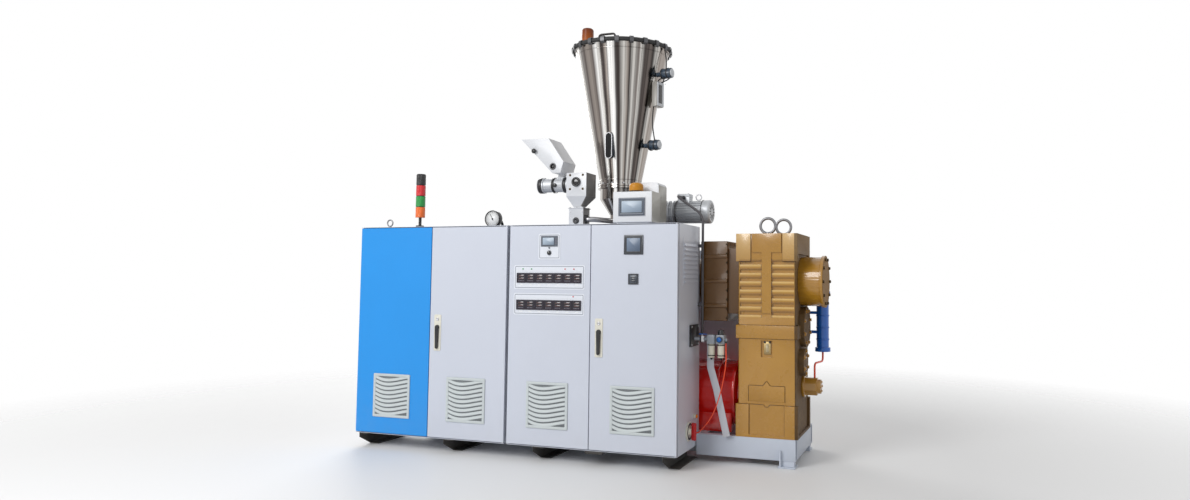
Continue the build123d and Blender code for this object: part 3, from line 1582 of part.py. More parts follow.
# The scoop hopper leans to the left and is open at its top
def scoop_outline(inset):
    """The scoop's outline from the front, moved inwards by its sheet."""
    return [
        (scoop_lip_left + 3 * inset, scoop_top),
        (scoop_top_right - inset, scoop_top),
        (scoop_side_right - inset, scoop_knee_z),
        (scoop_foot_right - inset, scoop_bottom + inset),
        (scoop_foot_left + inset, scoop_bottom + inset),
    ]


with BuildPart() as doser_hopper:
    with BuildSketch(front(scoop_front + scoop_depth)):
        with BuildLine():
            Polyline(*scoop_outline(0), close=True)
        make_face()
    extrude(amount=scoop_depth)
    with BuildSketch(front(scoop_front + scoop_depth - scoop_sheet)):
        with BuildLine():
            Polyline(*scoop_outline(scoop_sheet), close=True)
        make_face()
    extrude(amount=scoop_depth - 2 * scoop_sheet, mode=Mode.SUBTRACT)
    with BuildSketch(level(scoop_bottom)):
        with Locations((scoop_neck_x, doser_y)):
            Circle(scoop_neck_radius)
    extrude(amount=-scoop_seat)
save(doser_hopper.part, "doser_hopper")

# Feed pipe from the doser's stand to the feeder throat
doser_pipe_radius = 20.0
doser_pipe_rise = 62.0
doser_pipe_z = roof_top + doser_pipe_rise
doser_pipe_bend = 60.0
pipe_elbow_from_hopper = 100.0
pipe_elbow_x = hopper_x - pipe_elbow_from_hopper
pipe_elbow = Vector(pipe_elbow_x, doser_y, doser_pipe_z)
neck_centre = Vector(hopper_x, axis_y, doser_pipe_z)
pipe_heading = (neck_centre - pipe_elbow).normalized()
doser_pipe_points = [
    (doser_stand_left + doser_stand_width, doser_y, doser_pipe_z),
    pipe_elbow,
    neck_centre - pipe_heading * (feed_neck_radius + seat_gap),
]

with BuildPart() as doser_pipe:
    with BuildLine():
        doser_route = FilletPolyline(*doser_pipe_points, radius=doser_pipe_bend)
    with BuildSketch(Plane(origin=doser_pipe_points[0], z_dir=(1, 0, 0))):
        Circle(doser_pipe_radius)
    sweep(path=doser_route)
save(doser_pipe.part, "doser_pipe")

# Air unit: a plate on the cabinet's side carries a filter and a regulator with a round bowl each
air_plate_setback = 262.0
air_plate_width = 180.0
air_plate_bottom = 805.0
air_plate_height = 150.0
air_plate_reach = 14.0
air_setback = 345.0
air_y = door_front + air_setback
air_z = 858.0
air_pipe_radius = 12.0
air_filter_from_cabinet = 136.0
air_filter_x = cabinet_right + air_filter_from_cabinet
air_regulator_from_cabinet = 204.0
air_regulator_x = cabinet_right + air_regulator_from_cabinet
air_body_half = 30.0
air_body_height = 60.0
air_bowl_radius = 23.0
air_bowl_height = 96.0
air_knob_radius = 20.0
air_knob_height = 34.0
air_elbow_radius = 8.0
air_elbow_reach = 6.0
air_elbow_drop = 24.0
air_outlet_x = air_regulator_x + air_body_half + air_elbow_reach
air_fitting_setback = 352.0
air_fitting_y = door_front + air_fitting_setback
air_fitting_z = 205.0
air_fitting_reach = 20.0

with BuildPart() as air_unit:
    with BuildSketch(side(cabinet_right)):
        with Locations((door_front + air_plate_setback, air_plate_bottom)):
            Rectangle(air_plate_width, air_plate_height, align=low_corner)
    extrude(amount=air_plate_reach)
    with BuildSketch(side(cabinet_right + air_plate_reach)):
        with Locations((air_y, air_z)):
            Circle(air_pipe_radius)
    extrude(amount=air_regulator_x - cabinet_right - air_plate_reach)
    for body_x in (air_filter_x, air_regulator_x):
        with BuildSketch(level(air_z - air_body_height / 2)):
            with Locations((body_x, air_y)):
                RectangleRounded(2 * air_body_half, 2 * air_body_half, air_body_half / 3)
        extrude(amount=air_body_height)
        with BuildSketch(level(air_z - air_body_height / 2)):
            with Locations((body_x, air_y)):
                Circle(air_bowl_radius)
        extrude(amount=-air_bowl_height)
    with BuildSketch(level(air_z + air_body_height / 2)):
        with Locations((air_regulator_x, air_y)):
            Circle(air_knob_radius)
    extrude(amount=air_knob_height)
    # Elbow at the outlet, pointing down, and the fitting low on the cabinet's side
    with BuildSketch(side(air_regulator_x)):
        with Locations((air_y, air_z)):
            Circle(air_elbow_radius)
    extrude(amount=air_body_half + air_elbow_reach + air_elbow_radius)
    with BuildSketch(level(air_z)):
        with Locations((air_outlet_x, air_y)):
            Circle(air_elbow_radius)
    extrude(amount=-air_elbow_drop)
    with BuildSketch(side(cabinet_right)):
        with Locations((air_fitting_y, air_fitting_z)):
            Circle(air_elbow_radius)
    extrude(amount=air_fitting_reach)
save(air_unit.part, "air_unit")

# Strut: a bent flat bar from the base rail up to the air unit
strut_y = air_y + air_body_half + seat_gap
strut_sheet = 6.0
strut_width = 50.0
strut_head_from_cabinet = 120.0
strut_elbow_from_cabinet = 165.0
strut_foot_from_cabinet = 238.0
strut_shoulder_z = 660.0
strut_elbow_z = 509.0
strut_points = [
    (cabinet_right + strut_head_from_cabinet, air_z + air_body_height / 2),
    (cabinet_right + strut_head_from_cabinet, strut_shoulder_z),
    (cabinet_right + strut_elbow_from_cabinet, strut_elbow_z),
    (cabinet_right + strut_foot_from_cabinet, base_top),
]
strut_bend = 60.0
strut_front = strut_y + strut_sheet

with BuildPart() as air_strut:
    with BuildSketch(front(strut_front)):
        with BuildLine():
            FilletPolyline(*strut_points, radius=strut_bend)
        trace(line_width=strut_width)
    extrude(amount=strut_sheet)
save(air_strut.part, "air_strut")

# Air tube: it hangs from the elbow to the fitting, and its route is chosen by hand
air_tube_radius = 4.0
air_bend_share = 0.45
air_start = Vector(air_outlet_x, air_y, air_z - air_elbow_drop)
air_end = Vector(cabinet_right + air_fitting_reach, air_fitting_y, air_fitting_z)
air_tube_drops = [
    (0.0, 0.0, 0.0),
    (0.0, 0.0, -50.0),
    (3.0, -3.0, -100.0),
    (0.0, -6.0, -150.0),
    (-6.0, -7.0, -200.0),
    (-15.0, -7.0, -250.0),
    (-26.0, -6.0, -299.0),
    (-39.0, -4.0, -348.0),
    (-54.0, -2.0, -396.0),
    (-71.0, 0.0, -443.0),
    (-91.0, 2.0, -488.0),
    (-115.0, 4.0, -530.0),
    (-143.0, 5.0, -568.0),
    (-172.0, 6.0, -600.0),
]
air_tube_points = [air_start + Vector(*drop) for drop in air_tube_drops]
air_tube_points.append(air_end + Vector(air_fitting_reach, 0, 0))
air_tube_points.append(air_end)


def bend_radii(points):
    """The largest arc at each corner that leaves a tenth of its shorter run straight."""
    radii = []
    for before, corner, after in zip(points, points[1:], points[2:]):
        arriving = corner - before
        leaving = after - corner
        half_turn = radians(arriving.get_angle(leaving)) / 2
        radii.append(air_bend_share * min(arriving.length, leaving.length) / tan(half_turn))
    return radii


air_tube_radii = bend_radii(air_tube_points)
with BuildPart() as air_tube:
    with BuildLine():
        air_route = FilletPolyline(*air_tube_points, radius=air_tube_radii)
    with BuildSketch(Plane(origin=air_start, z_dir=air_tube_points[1] - air_start)):
        Circle(air_tube_radius)
    sweep(path=air_route)
save(air_tube.part, "air_tube")
print("air tube length", round(air_route.length, 1), "smallest bend", round(min(air_tube_radii), 1))
print("air tube volume share", round(air_tube.part.volume / (pi * air_tube_radius**2 * air_route.length), 4))

# Cable conduit: from the feeder motor's terminal box over the roof's edge and down the side
conduit_radius = 9.0
conduit_start_drop = 26.0
conduit_start_z = terminal_top - conduit_start_drop
conduit_from_rear = 36.0
conduit_from_cabinet = 34.0
conduit_end_drop = 770.0
conduit_end_z = roof_top - conduit_end_drop
conduit_dip_rise = 85.0
conduit_dip_z = roof_top + conduit_dip_rise
low_clip_drop = 570.0
high_clip_drop = 150.0
conduit_clip_zs = [roof_top - low_clip_drop, roof_top - high_clip_drop]
conduit_clip_height = 24.0
conduit_x = cabinet_right + conduit_from_cabinet
conduit_y = cabinet_rear - conduit_from_rear
terminal_x = feed_motor_left + terminal_width / 2 + feed_fin_gap
conduit_points = [
    (terminal_x, axis_y - terminal_depth / 2, conduit_start_z),
    (terminal_x, conduit_y, conduit_start_z),
    (conduit_x, conduit_y, conduit_dip_z),
    (conduit_x, conduit_y, conduit_end_z),
    (cabinet_right, conduit_y, conduit_end_z),
]
conduit_first_bend = 60.0
conduit_wide_bend = 110.0
conduit_tight_bend = 24.0
conduit_bends = [conduit_first_bend, conduit_wide_bend, conduit_tight_bend]

with BuildPart() as side_conduit:
    with BuildLine():
        conduit_route = FilletPolyline(*conduit_points, radius=conduit_bends)
    with BuildSketch(Plane(origin=conduit_points[0], z_dir=(0, -1, 0))):
        Circle(conduit_radius)
    sweep(path=conduit_route)
    for clip_z in conduit_clip_zs:
        with BuildSketch(level(clip_z)):
            with Locations((cabinet_right, conduit_y - conduit_radius)):
                Rectangle(conduit_from_cabinet, 2 * conduit_radius, align=low_corner)
        extrude(amount=conduit_clip_height)
save(side_conduit.part, "side_conduit")
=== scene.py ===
import json
import math

import bmesh
import bpy
import numpy as np
from mathutils import Matrix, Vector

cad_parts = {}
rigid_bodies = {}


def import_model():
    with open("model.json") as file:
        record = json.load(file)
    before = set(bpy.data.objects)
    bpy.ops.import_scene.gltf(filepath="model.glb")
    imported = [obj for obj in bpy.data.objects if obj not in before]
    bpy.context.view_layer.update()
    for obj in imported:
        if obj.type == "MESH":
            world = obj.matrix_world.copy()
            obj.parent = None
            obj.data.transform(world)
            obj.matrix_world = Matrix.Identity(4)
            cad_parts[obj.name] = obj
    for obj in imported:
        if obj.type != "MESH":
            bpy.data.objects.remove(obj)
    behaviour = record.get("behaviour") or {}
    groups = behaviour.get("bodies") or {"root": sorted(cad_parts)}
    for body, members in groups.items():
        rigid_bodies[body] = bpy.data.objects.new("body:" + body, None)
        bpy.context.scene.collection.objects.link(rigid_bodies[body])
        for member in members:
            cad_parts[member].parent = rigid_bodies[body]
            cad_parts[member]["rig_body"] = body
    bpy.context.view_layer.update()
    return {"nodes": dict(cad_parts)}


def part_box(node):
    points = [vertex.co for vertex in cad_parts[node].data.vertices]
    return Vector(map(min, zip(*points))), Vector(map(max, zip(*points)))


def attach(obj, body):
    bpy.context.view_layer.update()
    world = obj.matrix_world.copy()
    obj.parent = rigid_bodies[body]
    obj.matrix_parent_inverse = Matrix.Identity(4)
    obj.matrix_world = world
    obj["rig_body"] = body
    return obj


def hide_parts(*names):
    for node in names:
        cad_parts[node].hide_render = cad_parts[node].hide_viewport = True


# %% [markdown]
# A plastic extruder for a factory line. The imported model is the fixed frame: it holds every
# solid at its real size, in metres, with its doors and levers. This lesson dresses it. Flat
# sheet parts keep their solids and get a finish. Cast, turned and moulded parts get a copy with
# rounded edges. Small parts that the solids leave out are worked out with numpy.

# %% Load the frame and keep its box
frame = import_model()
body_of_node = {name: node["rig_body"] for name, node in frame["nodes"].items()}


def box_of(node):
    """The low and high corners of a solid, in metres."""
    return [np.array(corner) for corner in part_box(node)]


def linked(name, data):
    """A new object of this data, linked into the scene."""
    made = bpy.data.objects.new(name, data)
    bpy.context.scene.collection.objects.link(made)
    return made


def matrix_of(axes, place):
    """The 4 by 4 matrix of three axes, as columns, at a place."""
    matrix = np.eye(4)
    matrix[:3, :3] = axes
    matrix[:3, 3] = place
    return Matrix(matrix.tolist())


# %% [markdown]
# The camera stands where the photographer stood: in front, to the right of the middle, at eye
# height and turned to the left. So the doors are seen almost flat and the gearbox end shows.
# The lens is longer than in the picture, so that the machine fills the frame. The small shift
# keeps the upright edges upright while it centres the machine.

# %% Camera
frame_width_px, lens_px, sensor_mm = 1190.0, 812.0, 36.0
camera_place = (2.5415, -5.68475, 1.284)
yaw, pitch, roll = (math.radians(angle) for angle in (18.61, 3.74, 0.41))
ahead = np.array([-math.sin(yaw) * math.cos(pitch), math.cos(yaw) * math.cos(pitch), math.sin(pitch)])
level_right = np.array([math.cos(yaw), math.sin(yaw), 0.0])
level_up = np.cross(level_right, ahead)
camera_right = math.cos(roll) * level_right + math.sin(roll) * level_up
camera_up = -math.sin(roll) * level_right + math.cos(roll) * level_up
camera_data = bpy.data.cameras.new("camera")
camera_data.sensor_width = sensor_mm
camera_data.lens = sensor_mm * lens_px / frame_width_px
camera_data.shift_x = -0.0675
camera_data.shift_y = -0.0215
camera_data.clip_end = 200.0
camera = linked("camera", camera_data)
camera.matrix_world = matrix_of(np.column_stack([camera_right, camera_up, -ahead]), camera_place)
bpy.context.scene.camera = camera
bpy.context.scene.view_settings.view_transform = "Standard"
print("lens", round(camera_data.lens, 2), "mm")

# %% [markdown]
# A material is a small sum. Its nodes are easier to read as Python, so one class wraps a node's
# socket and gives it plus, minus, times and the comparisons. A few more turn a place on the
# object into a zone, a wave or a slope.


# %% Shader maths as expressions
class Wire:
    """A number or colour on its way through a material."""

    def __init__(self, finish, socket):
        self.finish = finish
        self.socket = socket

    def maths(self, operation, *values, clamp=False):
        settings = {"operation": operation, "use_clamp": clamp}
        return self.finish.node("ShaderNodeMath", settings, dict(enumerate(values)))[0]

    def __add__(self, other):
        return self.maths("ADD", self, other)

    __radd__ = __add__

    def __sub__(self, other):
        return self.maths("SUBTRACT", self, other)

    def __rsub__(self, other):
        return self.maths("SUBTRACT", other, self)

    def __mul__(self, other):
        return self.maths("MULTIPLY", self, other)

    __rmul__ = __mul__

    def __truediv__(self, other):
        return self.maths("DIVIDE", self, other)

    def __gt__(self, other):
        return self.maths("GREATER_THAN", self, other)

    def __lt__(self, other):
        return self.maths("LESS_THAN", self, other)

    def __abs__(self):
        return self.maths("ABSOLUTE", self)

    def above_zero(self):
        return self.maths("MAXIMUM", self, 0.0)

    def wave(self, period):
        """A sine from -1 to 1 along this value, one turn for each period."""
        return self.maths("SINE", self * (2 * math.pi / period))

    def between(self, low, high, soft=0.0005):
        """1 where this value lies from low to high, 0 outside, with edges as wide as soft."""
        rise = self.maths("MULTIPLY_ADD", (self - float(low)) / soft, 1.0, 0.5, clamp=True)
        fall = self.maths("MULTIPLY_ADD", (float(high) - self) / soft, 1.0, 0.5, clamp=True)
        return rise * fall

    def ramp(self, low, high):
        """0 at low and 1 at high, in a straight line between."""
        sockets = {"Value": self, "From Min": low, "From Max": high}
        return self.finish.node("ShaderNodeMapRange", {"clamp": True}, sockets)[0]


print("a wire knows + - * / > < abs, above_zero, wave, between and ramp")

# %% [markdown]
# A finish is one material with its shader and the place on the object, in metres. One method
# adds any node: its type, its settings, then what goes into its sockets. Mixes of two colours,
# noise and bumps are built on it. Colours are written as a picker shows them.


# %% A material under construction
class Finish:
    """A material under construction: one Principled shader and the nodes that feed it."""

    def __init__(self, name, colour, roughness=0.5, metallic=0.0, coat=0.0, **fixed):
        self.material = bpy.data.materials.new(name)
        self.material.use_nodes = True
        self.tree = self.material.node_tree
        self.shader = self.tree.nodes["Principled BSDF"]
        self.shader.inputs["Base Color"].default_value = (*colour, 1.0)
        self.shader.inputs["Roughness"].default_value = roughness
        self.shader.inputs["Metallic"].default_value = metallic
        self.shader.inputs["Coat Weight"].default_value = coat
        for socket_name, value in fixed.items():
            self.shader.inputs[socket_name.replace("_", " ")].default_value = value
        self.place = self.node("ShaderNodeTexCoord")["Object"]
        split = self.node("ShaderNodeSeparateXYZ", {}, {0: self.place})
        self.x, self.y, self.z = split[0], split[1], split[2]

    def node(self, kind, settings=None, sockets=None):
        """Add a node, set it up, feed its sockets, and return its outputs by name or number."""
        made = self.tree.nodes.new(kind)
        for setting, value in (settings or {}).items():
            if setting == "stops":
                for stop, (position, colour) in enumerate(value):
                    elements = made.color_ramp.elements
                    element = elements[stop] if stop < 2 else elements.new(position)
                    element.position, element.color = position, (*colour, 1.0)
            else:
                setattr(made, setting, value)
        for key, value in (sockets or {}).items():
            self.feed(made.inputs[key], value)
        outputs = {output.name: Wire(self, output) for output in made.outputs}
        outputs.update({number: Wire(self, output) for number, output in enumerate(made.outputs)})
        return outputs

    def feed(self, socket, value):
        if isinstance(value, Wire):
            self.tree.links.new(value.socket, socket)
        elif isinstance(value, tuple) and socket.type == "RGBA" and len(value) == 3:
            socket.default_value = (*value, 1.0)
        else:
            socket.default_value = value

    def set(self, socket_name, value):
        self.feed(self.shader.inputs[socket_name], value)

    def mix(self, factor, first, second):
        """The first colour where the factor is 0, the second where it is 1."""
        settings = {"data_type": "RGBA", "clamp_factor": True}
        return self.node("ShaderNodeMix", settings, {0: factor, 6: first, 7: second})[2]

    def noise(self, scale, detail=3.0, stretch=(1.0, 1.0, 1.0)):
        """Cloudy noise from 0 to 1, drawn out along an axis where stretch is small."""
        where = self.node("ShaderNodeMapping", {}, {0: self.place, 3: stretch})[0]
        return self.node("ShaderNodeTexNoise", {}, {0: where, "Scale": scale, "Detail": detail})[0]

    def bump(self, height, distance):
        """Raise the surface by height times distance, in metres."""
        sockets = {"Height": height, "Distance": distance, "Strength": 1.0}
        self.set("Normal", self.node("ShaderNodeBump", {}, sockets)["Normal"])


def srgb(red, green, blue):
    """A colour as a picker shows it, from 0 to 255, turned into the linear colour of light."""
    values = np.array([red, green, blue]) / 255.0
    return tuple(np.where(values <= 0.04045, values / 12.92, ((values + 0.055) / 1.055) ** 2.4).tolist())


print("white is", srgb(255, 255, 255))

# %% [markdown]
# Most pieces here are rings of points, one after another. A grid of points in rows and columns
# becomes a mesh when each square between neighbours becomes a face. Each row joins its last
# column to its first. A tube gets a flat cap at each end, and a closed ring joins its last row
# to its first.


# %% Rings into meshes
def ring_faces(rows, columns, closed=True):
    """Four corners for each square of a grid: row r and column c, then the next column and row."""
    r, c = np.meshgrid(np.arange(rows if closed else rows - 1), np.arange(columns), indexing="ij")
    r_next, c_next = (r + 1) % rows, (c + 1) % columns
    corners = [r * columns + c, r * columns + c_next, r_next * columns + c_next, r_next * columns + c]
    return np.stack([corner.ravel() for corner in corners], axis=1).tolist()


def tube_faces(rows, columns):
    """The squares of an open grid and a cap on its first and on its last row."""
    last = (rows - 1) * columns
    caps = [list(range(columns))[::-1], list(range(last, last + columns))]
    return ring_faces(rows, columns, closed=False) + caps


def riding(name, data, body):
    """An object of this data that moves with its body."""
    piece = linked(name, data)
    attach(piece, body)
    return piece


def add_piece(name, part, material, slot, body="machine", flat=False):
    """A shown piece of these (points, faces), with its material."""
    points, faces = part
    mesh = bpy.data.meshes.new(name)
    mesh.from_pydata(np.asarray(points, float).tolist(), [], [list(map(int, face)) for face in faces])
    mesh.polygons.foreach_set("use_smooth", [not flat] * len(mesh.polygons))
    mesh.materials.append(material)
    mesh.update()
    return riding(name, mesh, body)


def joined(parts):
    """Several (points, faces) pairs as one pair, each later part's faces counted on."""
    points, faces, count = [], [], 0
    for part_points, part_faces in parts:
        points.append(np.asarray(part_points, float))
        faces.extend([[int(corner) + count for corner in face] for face in part_faces])
        count += len(part_points)
    return np.concatenate(points), faces


def placed(part, places, turns=None):
    """Copies of one (points, faces) part, each turned by a 3 by 3 matrix and moved to its place."""
    points, faces = part
    points = np.asarray(points, float)
    turns = [np.eye(3)] * len(places) if turns is None else turns
    moved = [points @ np.asarray(turn).T + np.asarray(place) for place, turn in zip(places, turns)]
    return joined([(copied, faces) for copied in moved])


print("faces of a tube of three rings of eight points", len(tube_faces(3, 8)))

# %% [markdown]
# Each basic shape is then a formula for its points: a profile turned about an axis, a block
# with its edges cut back, a section carried along a path and a route with rounded corners. A
# hexagon bolt is a turned profile with six sides on a washer with sixteen.


# %% Basic shapes
def around_z(profile, sides):
    """A profile of (radius, height) pairs round the Z axis: x = r cos t, y = r sin t, z = height."""
    profile = np.asarray(profile, float)
    angle = np.linspace(0, 2 * np.pi, sides, endpoint=False)
    x = profile[:, :1] * np.cos(angle)
    y = profile[:, :1] * np.sin(angle)
    z = np.repeat(profile[:, 1:], sides, axis=1)
    return np.stack([x, y, z], axis=-1).reshape(-1, 3)


def turned_profile(profile, sides=32):
    """A turned solid along the Z axis, its profile running up the outside."""
    return around_z(profile, sides), tube_faces(len(profile), sides)


def turned_to(axis):
    """The 3 by 3 turn that takes the Z axis to this axis."""
    z = np.asarray(axis, float) / np.linalg.norm(axis)
    helper = np.array([0.0, 0.0, 1.0]) if abs(z[2]) < 0.9 else np.array([1.0, 0.0, 0.0])
    x = np.cross(helper, z)
    x /= np.linalg.norm(x)
    return np.column_stack([x, np.cross(z, x), z])


def slab(low, high, edge):
    """A block from low to high whose edges are cut back: four rings of eight points and two caps."""
    low, high = np.asarray(low, float), np.asarray(high, float)
    edge = min(edge, *(0.49 * (high - low)))
    points = []
    for inset, z in ((edge, low[2]), (0, low[2] + edge), (0, high[2] - edge), (edge, high[2])):
        a, b, c, d = low[0] + inset, high[0] - inset, low[1] + inset, high[1] - inset
        points += [
            (a + edge, c, z), (b - edge, c, z), (b, c + edge, z), (b, d - edge, z),
            (b - edge, d, z), (a + edge, d, z), (a, d - edge, z), (a, c + edge, z),
        ]
    return points, tube_faces(4, 8)


def along_path(path, ring):
    """A ring of (side, up) pairs carried along a path: point = path + side * left + up * normal.
    The frame turns with the path and never twists about it."""
    path, ring = np.asarray(path, float), np.asarray(ring, float)
    tangent = np.gradient(path, axis=0)
    tangent /= np.linalg.norm(tangent, axis=1, keepdims=True)
    normal = np.zeros_like(path)
    upwards_here = np.array([0.0, 0.0, 1.0]) if abs(tangent[0, 2]) < 0.9 else np.array([1.0, 0.0, 0.0])
    for place, direction in enumerate(tangent):
        upwards_here = upwards_here - direction * upwards_here.dot(direction)
        upwards_here /= np.linalg.norm(upwards_here)
        normal[place] = upwards_here
    left = np.cross(tangent, normal)
    points = path[:, None] + ring[None, :, :1] * left[:, None] + ring[None, :, 1:] * normal[:, None]
    return points.reshape(-1, 3), [face[::-1] for face in tube_faces(len(path), len(ring))]


def circle(radius, sides):
    """(radius cos t, radius sin t) for equal steps of t."""
    return around_z([(radius, 0)], sides)[:, :2]


def rounded_route(corners, radius, steps=4):
    """Straight runs with the corners rounded: near a corner, the square blend of its two sides."""
    corners = np.asarray(corners, float)
    route = [corners[0]]
    for before, corner, after in zip(corners, corners[1:], corners[2:]):
        first = corner + (before - corner) / np.linalg.norm(before - corner) * radius
        last = corner + (after - corner) / np.linalg.norm(after - corner) * radius
        t = np.linspace(0, 1, steps)[:, None]
        route.extend((1 - t) ** 2 * first + 2 * t * (1 - t) * corner + t**2 * last)
    route.append(corners[-1])
    return np.array(route)


def hexagon_bolt(radius, height, washer=0.0):
    """A hexagon head with a rounded top on an optional washer, standing on Z = 0."""
    head = turned_profile([(radius, 0), (radius, height * 0.8), (radius * 0.88, height)], sides=6)
    if not washer:
        return head
    disc = turned_profile([(radius * 1.35, 0), (radius * 1.35, washer)], sides=16)
    return joined([disc, placed(head, [(0, 0, washer)])])


small_bolt = hexagon_bolt(0.0065, 0.0045, 0.0012)
large_bolt = hexagon_bolt(0.012, 0.009, 0.0025)
print("corners of a bolt", len(small_bolt[0]))

# %% [markdown]
# Cast and turned parts have soft edges. Their solids arrive as loose triangles, so a copy of
# the mesh is merged, flat facets are joined again, and a bevel rounds the sharp edges.


# %% A copy of a solid with rounded edges
def soft_copy(node, material, width):
    """Merge the node's triangles into one skin, join flat facets, round the edges, and hide the node."""
    skin = bmesh.new()
    skin.from_mesh(frame["nodes"][node].data)
    bmesh.ops.remove_doubles(skin, verts=skin.verts, dist=0.00002)
    bmesh.ops.dissolve_limit(
        skin, angle_limit=math.radians(0.8), verts=skin.verts, edges=skin.edges, delimit={"NORMAL"}
    )
    mesh = bpy.data.meshes.new(node + "_skin")
    skin.to_mesh(mesh)
    skin.free()
    mesh.polygons.foreach_set("use_smooth", [True] * len(mesh.polygons))
    mesh.materials.clear()
    mesh.materials.append(material)
    piece = riding(node + "_skin", mesh, body_of_node[node])
    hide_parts(node)
    bevel = piece.modifiers.new("round", "BEVEL")
    bevel.width = width
    bevel.segments = 2
    bevel.limit_method = "ANGLE"
    bevel.angle_limit = math.radians(30.0)
    bevel.harden_normals = True
    bevel.use_clamp_overlap = True


print("solids to dress", len(body_of_node))

# %% [markdown]
# Sheet steel gets a powder coat. It isn't quite smooth: tiny waves break up the light, and the
# colour drifts a little from place to place. Near the floor it picks up dust. All of this comes
# from the place on the object, in metres, so it stays put when a door swings.


# %% Painted, moulded and bare finishes
def enamel(name, colour, roughness=0.36, coat=0.2, peel=0.00006, metallic=0.0):
    """The ground of every paint: a clear coat and a fine orange-peel bump."""
    paint = Finish(name, colour, roughness, metallic, coat, Coat_Roughness=0.12)
    paint.bump(paint.noise(420.0, detail=1.0), peel)
    return paint


def painted(name, colour, roughness=0.35, coat=0.2, peel=0.00006, dust=0.25, drift=0.05, metallic=0.0):
    """Powder coat or enamel with a slow drift in colour, dull patches and dust low down."""
    paint = enamel(name, colour, roughness, coat, peel, metallic)
    cloud = paint.noise(3.0, detail=5.0)
    shade = tuple(value * (1.0 - 2.0 * drift) for value in colour)
    dusty = tuple(0.55 * value + 0.45 * grey for value, grey in zip(colour, srgb(150, 142, 130)))
    low_down = (1.0 - paint.z.ramp(0.0, 0.5)) * paint.noise(14.0, detail=6.0)
    paint.set("Base Color", paint.mix(low_down * dust, paint.mix(cloud, shade, colour), dusty))
    paint.set("Roughness", (cloud - 0.5) * 0.14 + low_down * dust * 0.6 + roughness)
    return paint.material


def moulded(name, colour, roughness=0.35, grain=900.0, depth=0.00003):
    """Moulded plastic: a fine even grain and faint wear in the gloss."""
    plastic = Finish(name, colour, roughness)
    cloud = plastic.noise(9.0, detail=4.0)
    plastic.set("Base Color", plastic.mix(cloud, tuple(value * 0.9 for value in colour), colour))
    plastic.set("Roughness", (cloud - 0.5) * 0.2 + roughness)
    plastic.bump(plastic.noise(grain, detail=1.0), depth)
    return plastic.material


def machined(name, colour, roughness=0.45, scale=300.0):
    """Bare metal: fine tool marks and darker stains."""
    metal = Finish(name, colour, roughness, 1.0)
    marks = metal.noise(scale, detail=2.0)
    cloud = metal.noise(6.0, detail=6.0)
    stained = tuple(value * 0.55 for value in colour)
    metal.set("Base Color", metal.mix(cloud.ramp(0.35, 0.75) * 0.3, colour, stained))
    metal.set("Roughness", (marks - 0.5) * 0.25 + cloud * 0.12 + roughness)
    metal.bump(marks, 0.00003)
    return metal.material


white, gold = srgb(217, 219, 223), srgb(178, 128, 34)
black, soft_black = srgb(24, 24, 26), srgb(26, 26, 28)
cabinet_paint = painted("cabinet_paint", srgb(203, 208, 220), 0.38, drift=0.02)
blue_paint = painted("blue_paint", srgb(10, 146, 230), 0.36, drift=0.03)
bearer_paint = painted("bearer_paint", srgb(34, 34, 36), 0.5, coat=0.0, dust=0.5)
frame_paint = painted("frame_paint", srgb(198, 206, 220), 0.42, dust=0.3)
gear_paint = painted("gear_paint", gold, 0.28, coat=0.6, peel=0.0003, dust=0.2, drift=0.09)
# Painted shade: a darker copy of the gold paint for the distribution box, which lies in the cabinet's shade.
shaded_gear_paint = painted("shaded_gear_paint", srgb(106, 70, 20), 0.42, peel=0.0003, drift=0.12)
motor_paint = painted("motor_paint", srgb(236, 22, 12), 0.24, coat=0.8, peel=0.0001, dust=0.1, drift=0.06)
cooler_paint = painted("cooler_paint", srgb(8, 100, 198), 0.34, coat=0.4, peel=0.0002, drift=0.06)
white_paint = painted("white_paint", white, 0.36, drift=0.02, dust=0.0)
silver_paint = painted("silver_paint", srgb(196, 199, 203), 0.4, coat=0.1, drift=0.08, metallic=0.3)
strut_paint = painted("strut_paint", srgb(198, 200, 208), 0.4, drift=0.04)
cream_plastic = moulded("cream_plastic", srgb(224, 221, 208), 0.4)
grille_plastic = moulded("grille_plastic", srgb(201, 208, 209), 0.5)
black_plastic = moulded("black_plastic", soft_black)
black_rubber = moulded("black_rubber", srgb(30, 30, 31), 0.65, grain=300.0, depth=0.00012)
pipe_red = moulded("red_tube", srgb(254, 84, 46), 0.25)
dark_steel = machined("dark_steel", srgb(96, 96, 98), 0.42)
bright_steel = machined("bright_steel", srgb(184, 184, 187), 0.26)
eye_steel = machined("eye_steel", srgb(132, 132, 135), 0.3, scale=80.0)
zinc_steel = machined("zinc_steel", srgb(188, 186, 178), 0.36, scale=60.0)
cast_aluminium = machined("cast_aluminium", srgb(178, 180, 182), 0.5, scale=120.0)
print("painted, moulded and bare finishes", len(bpy.data.materials))

# %% [markdown]
# The hopper is rolled from polished stainless sheet. The mirror shows the hall in upright
# bands, light and dark, and rolling leaves faint streaks. A studio has no hall to show, so the
# bands are in the colour, by the angle round the hopper's own axis. They stay on the metal from
# every side. A slow noise along the height bends them a little, as on a sheet that isn't true.

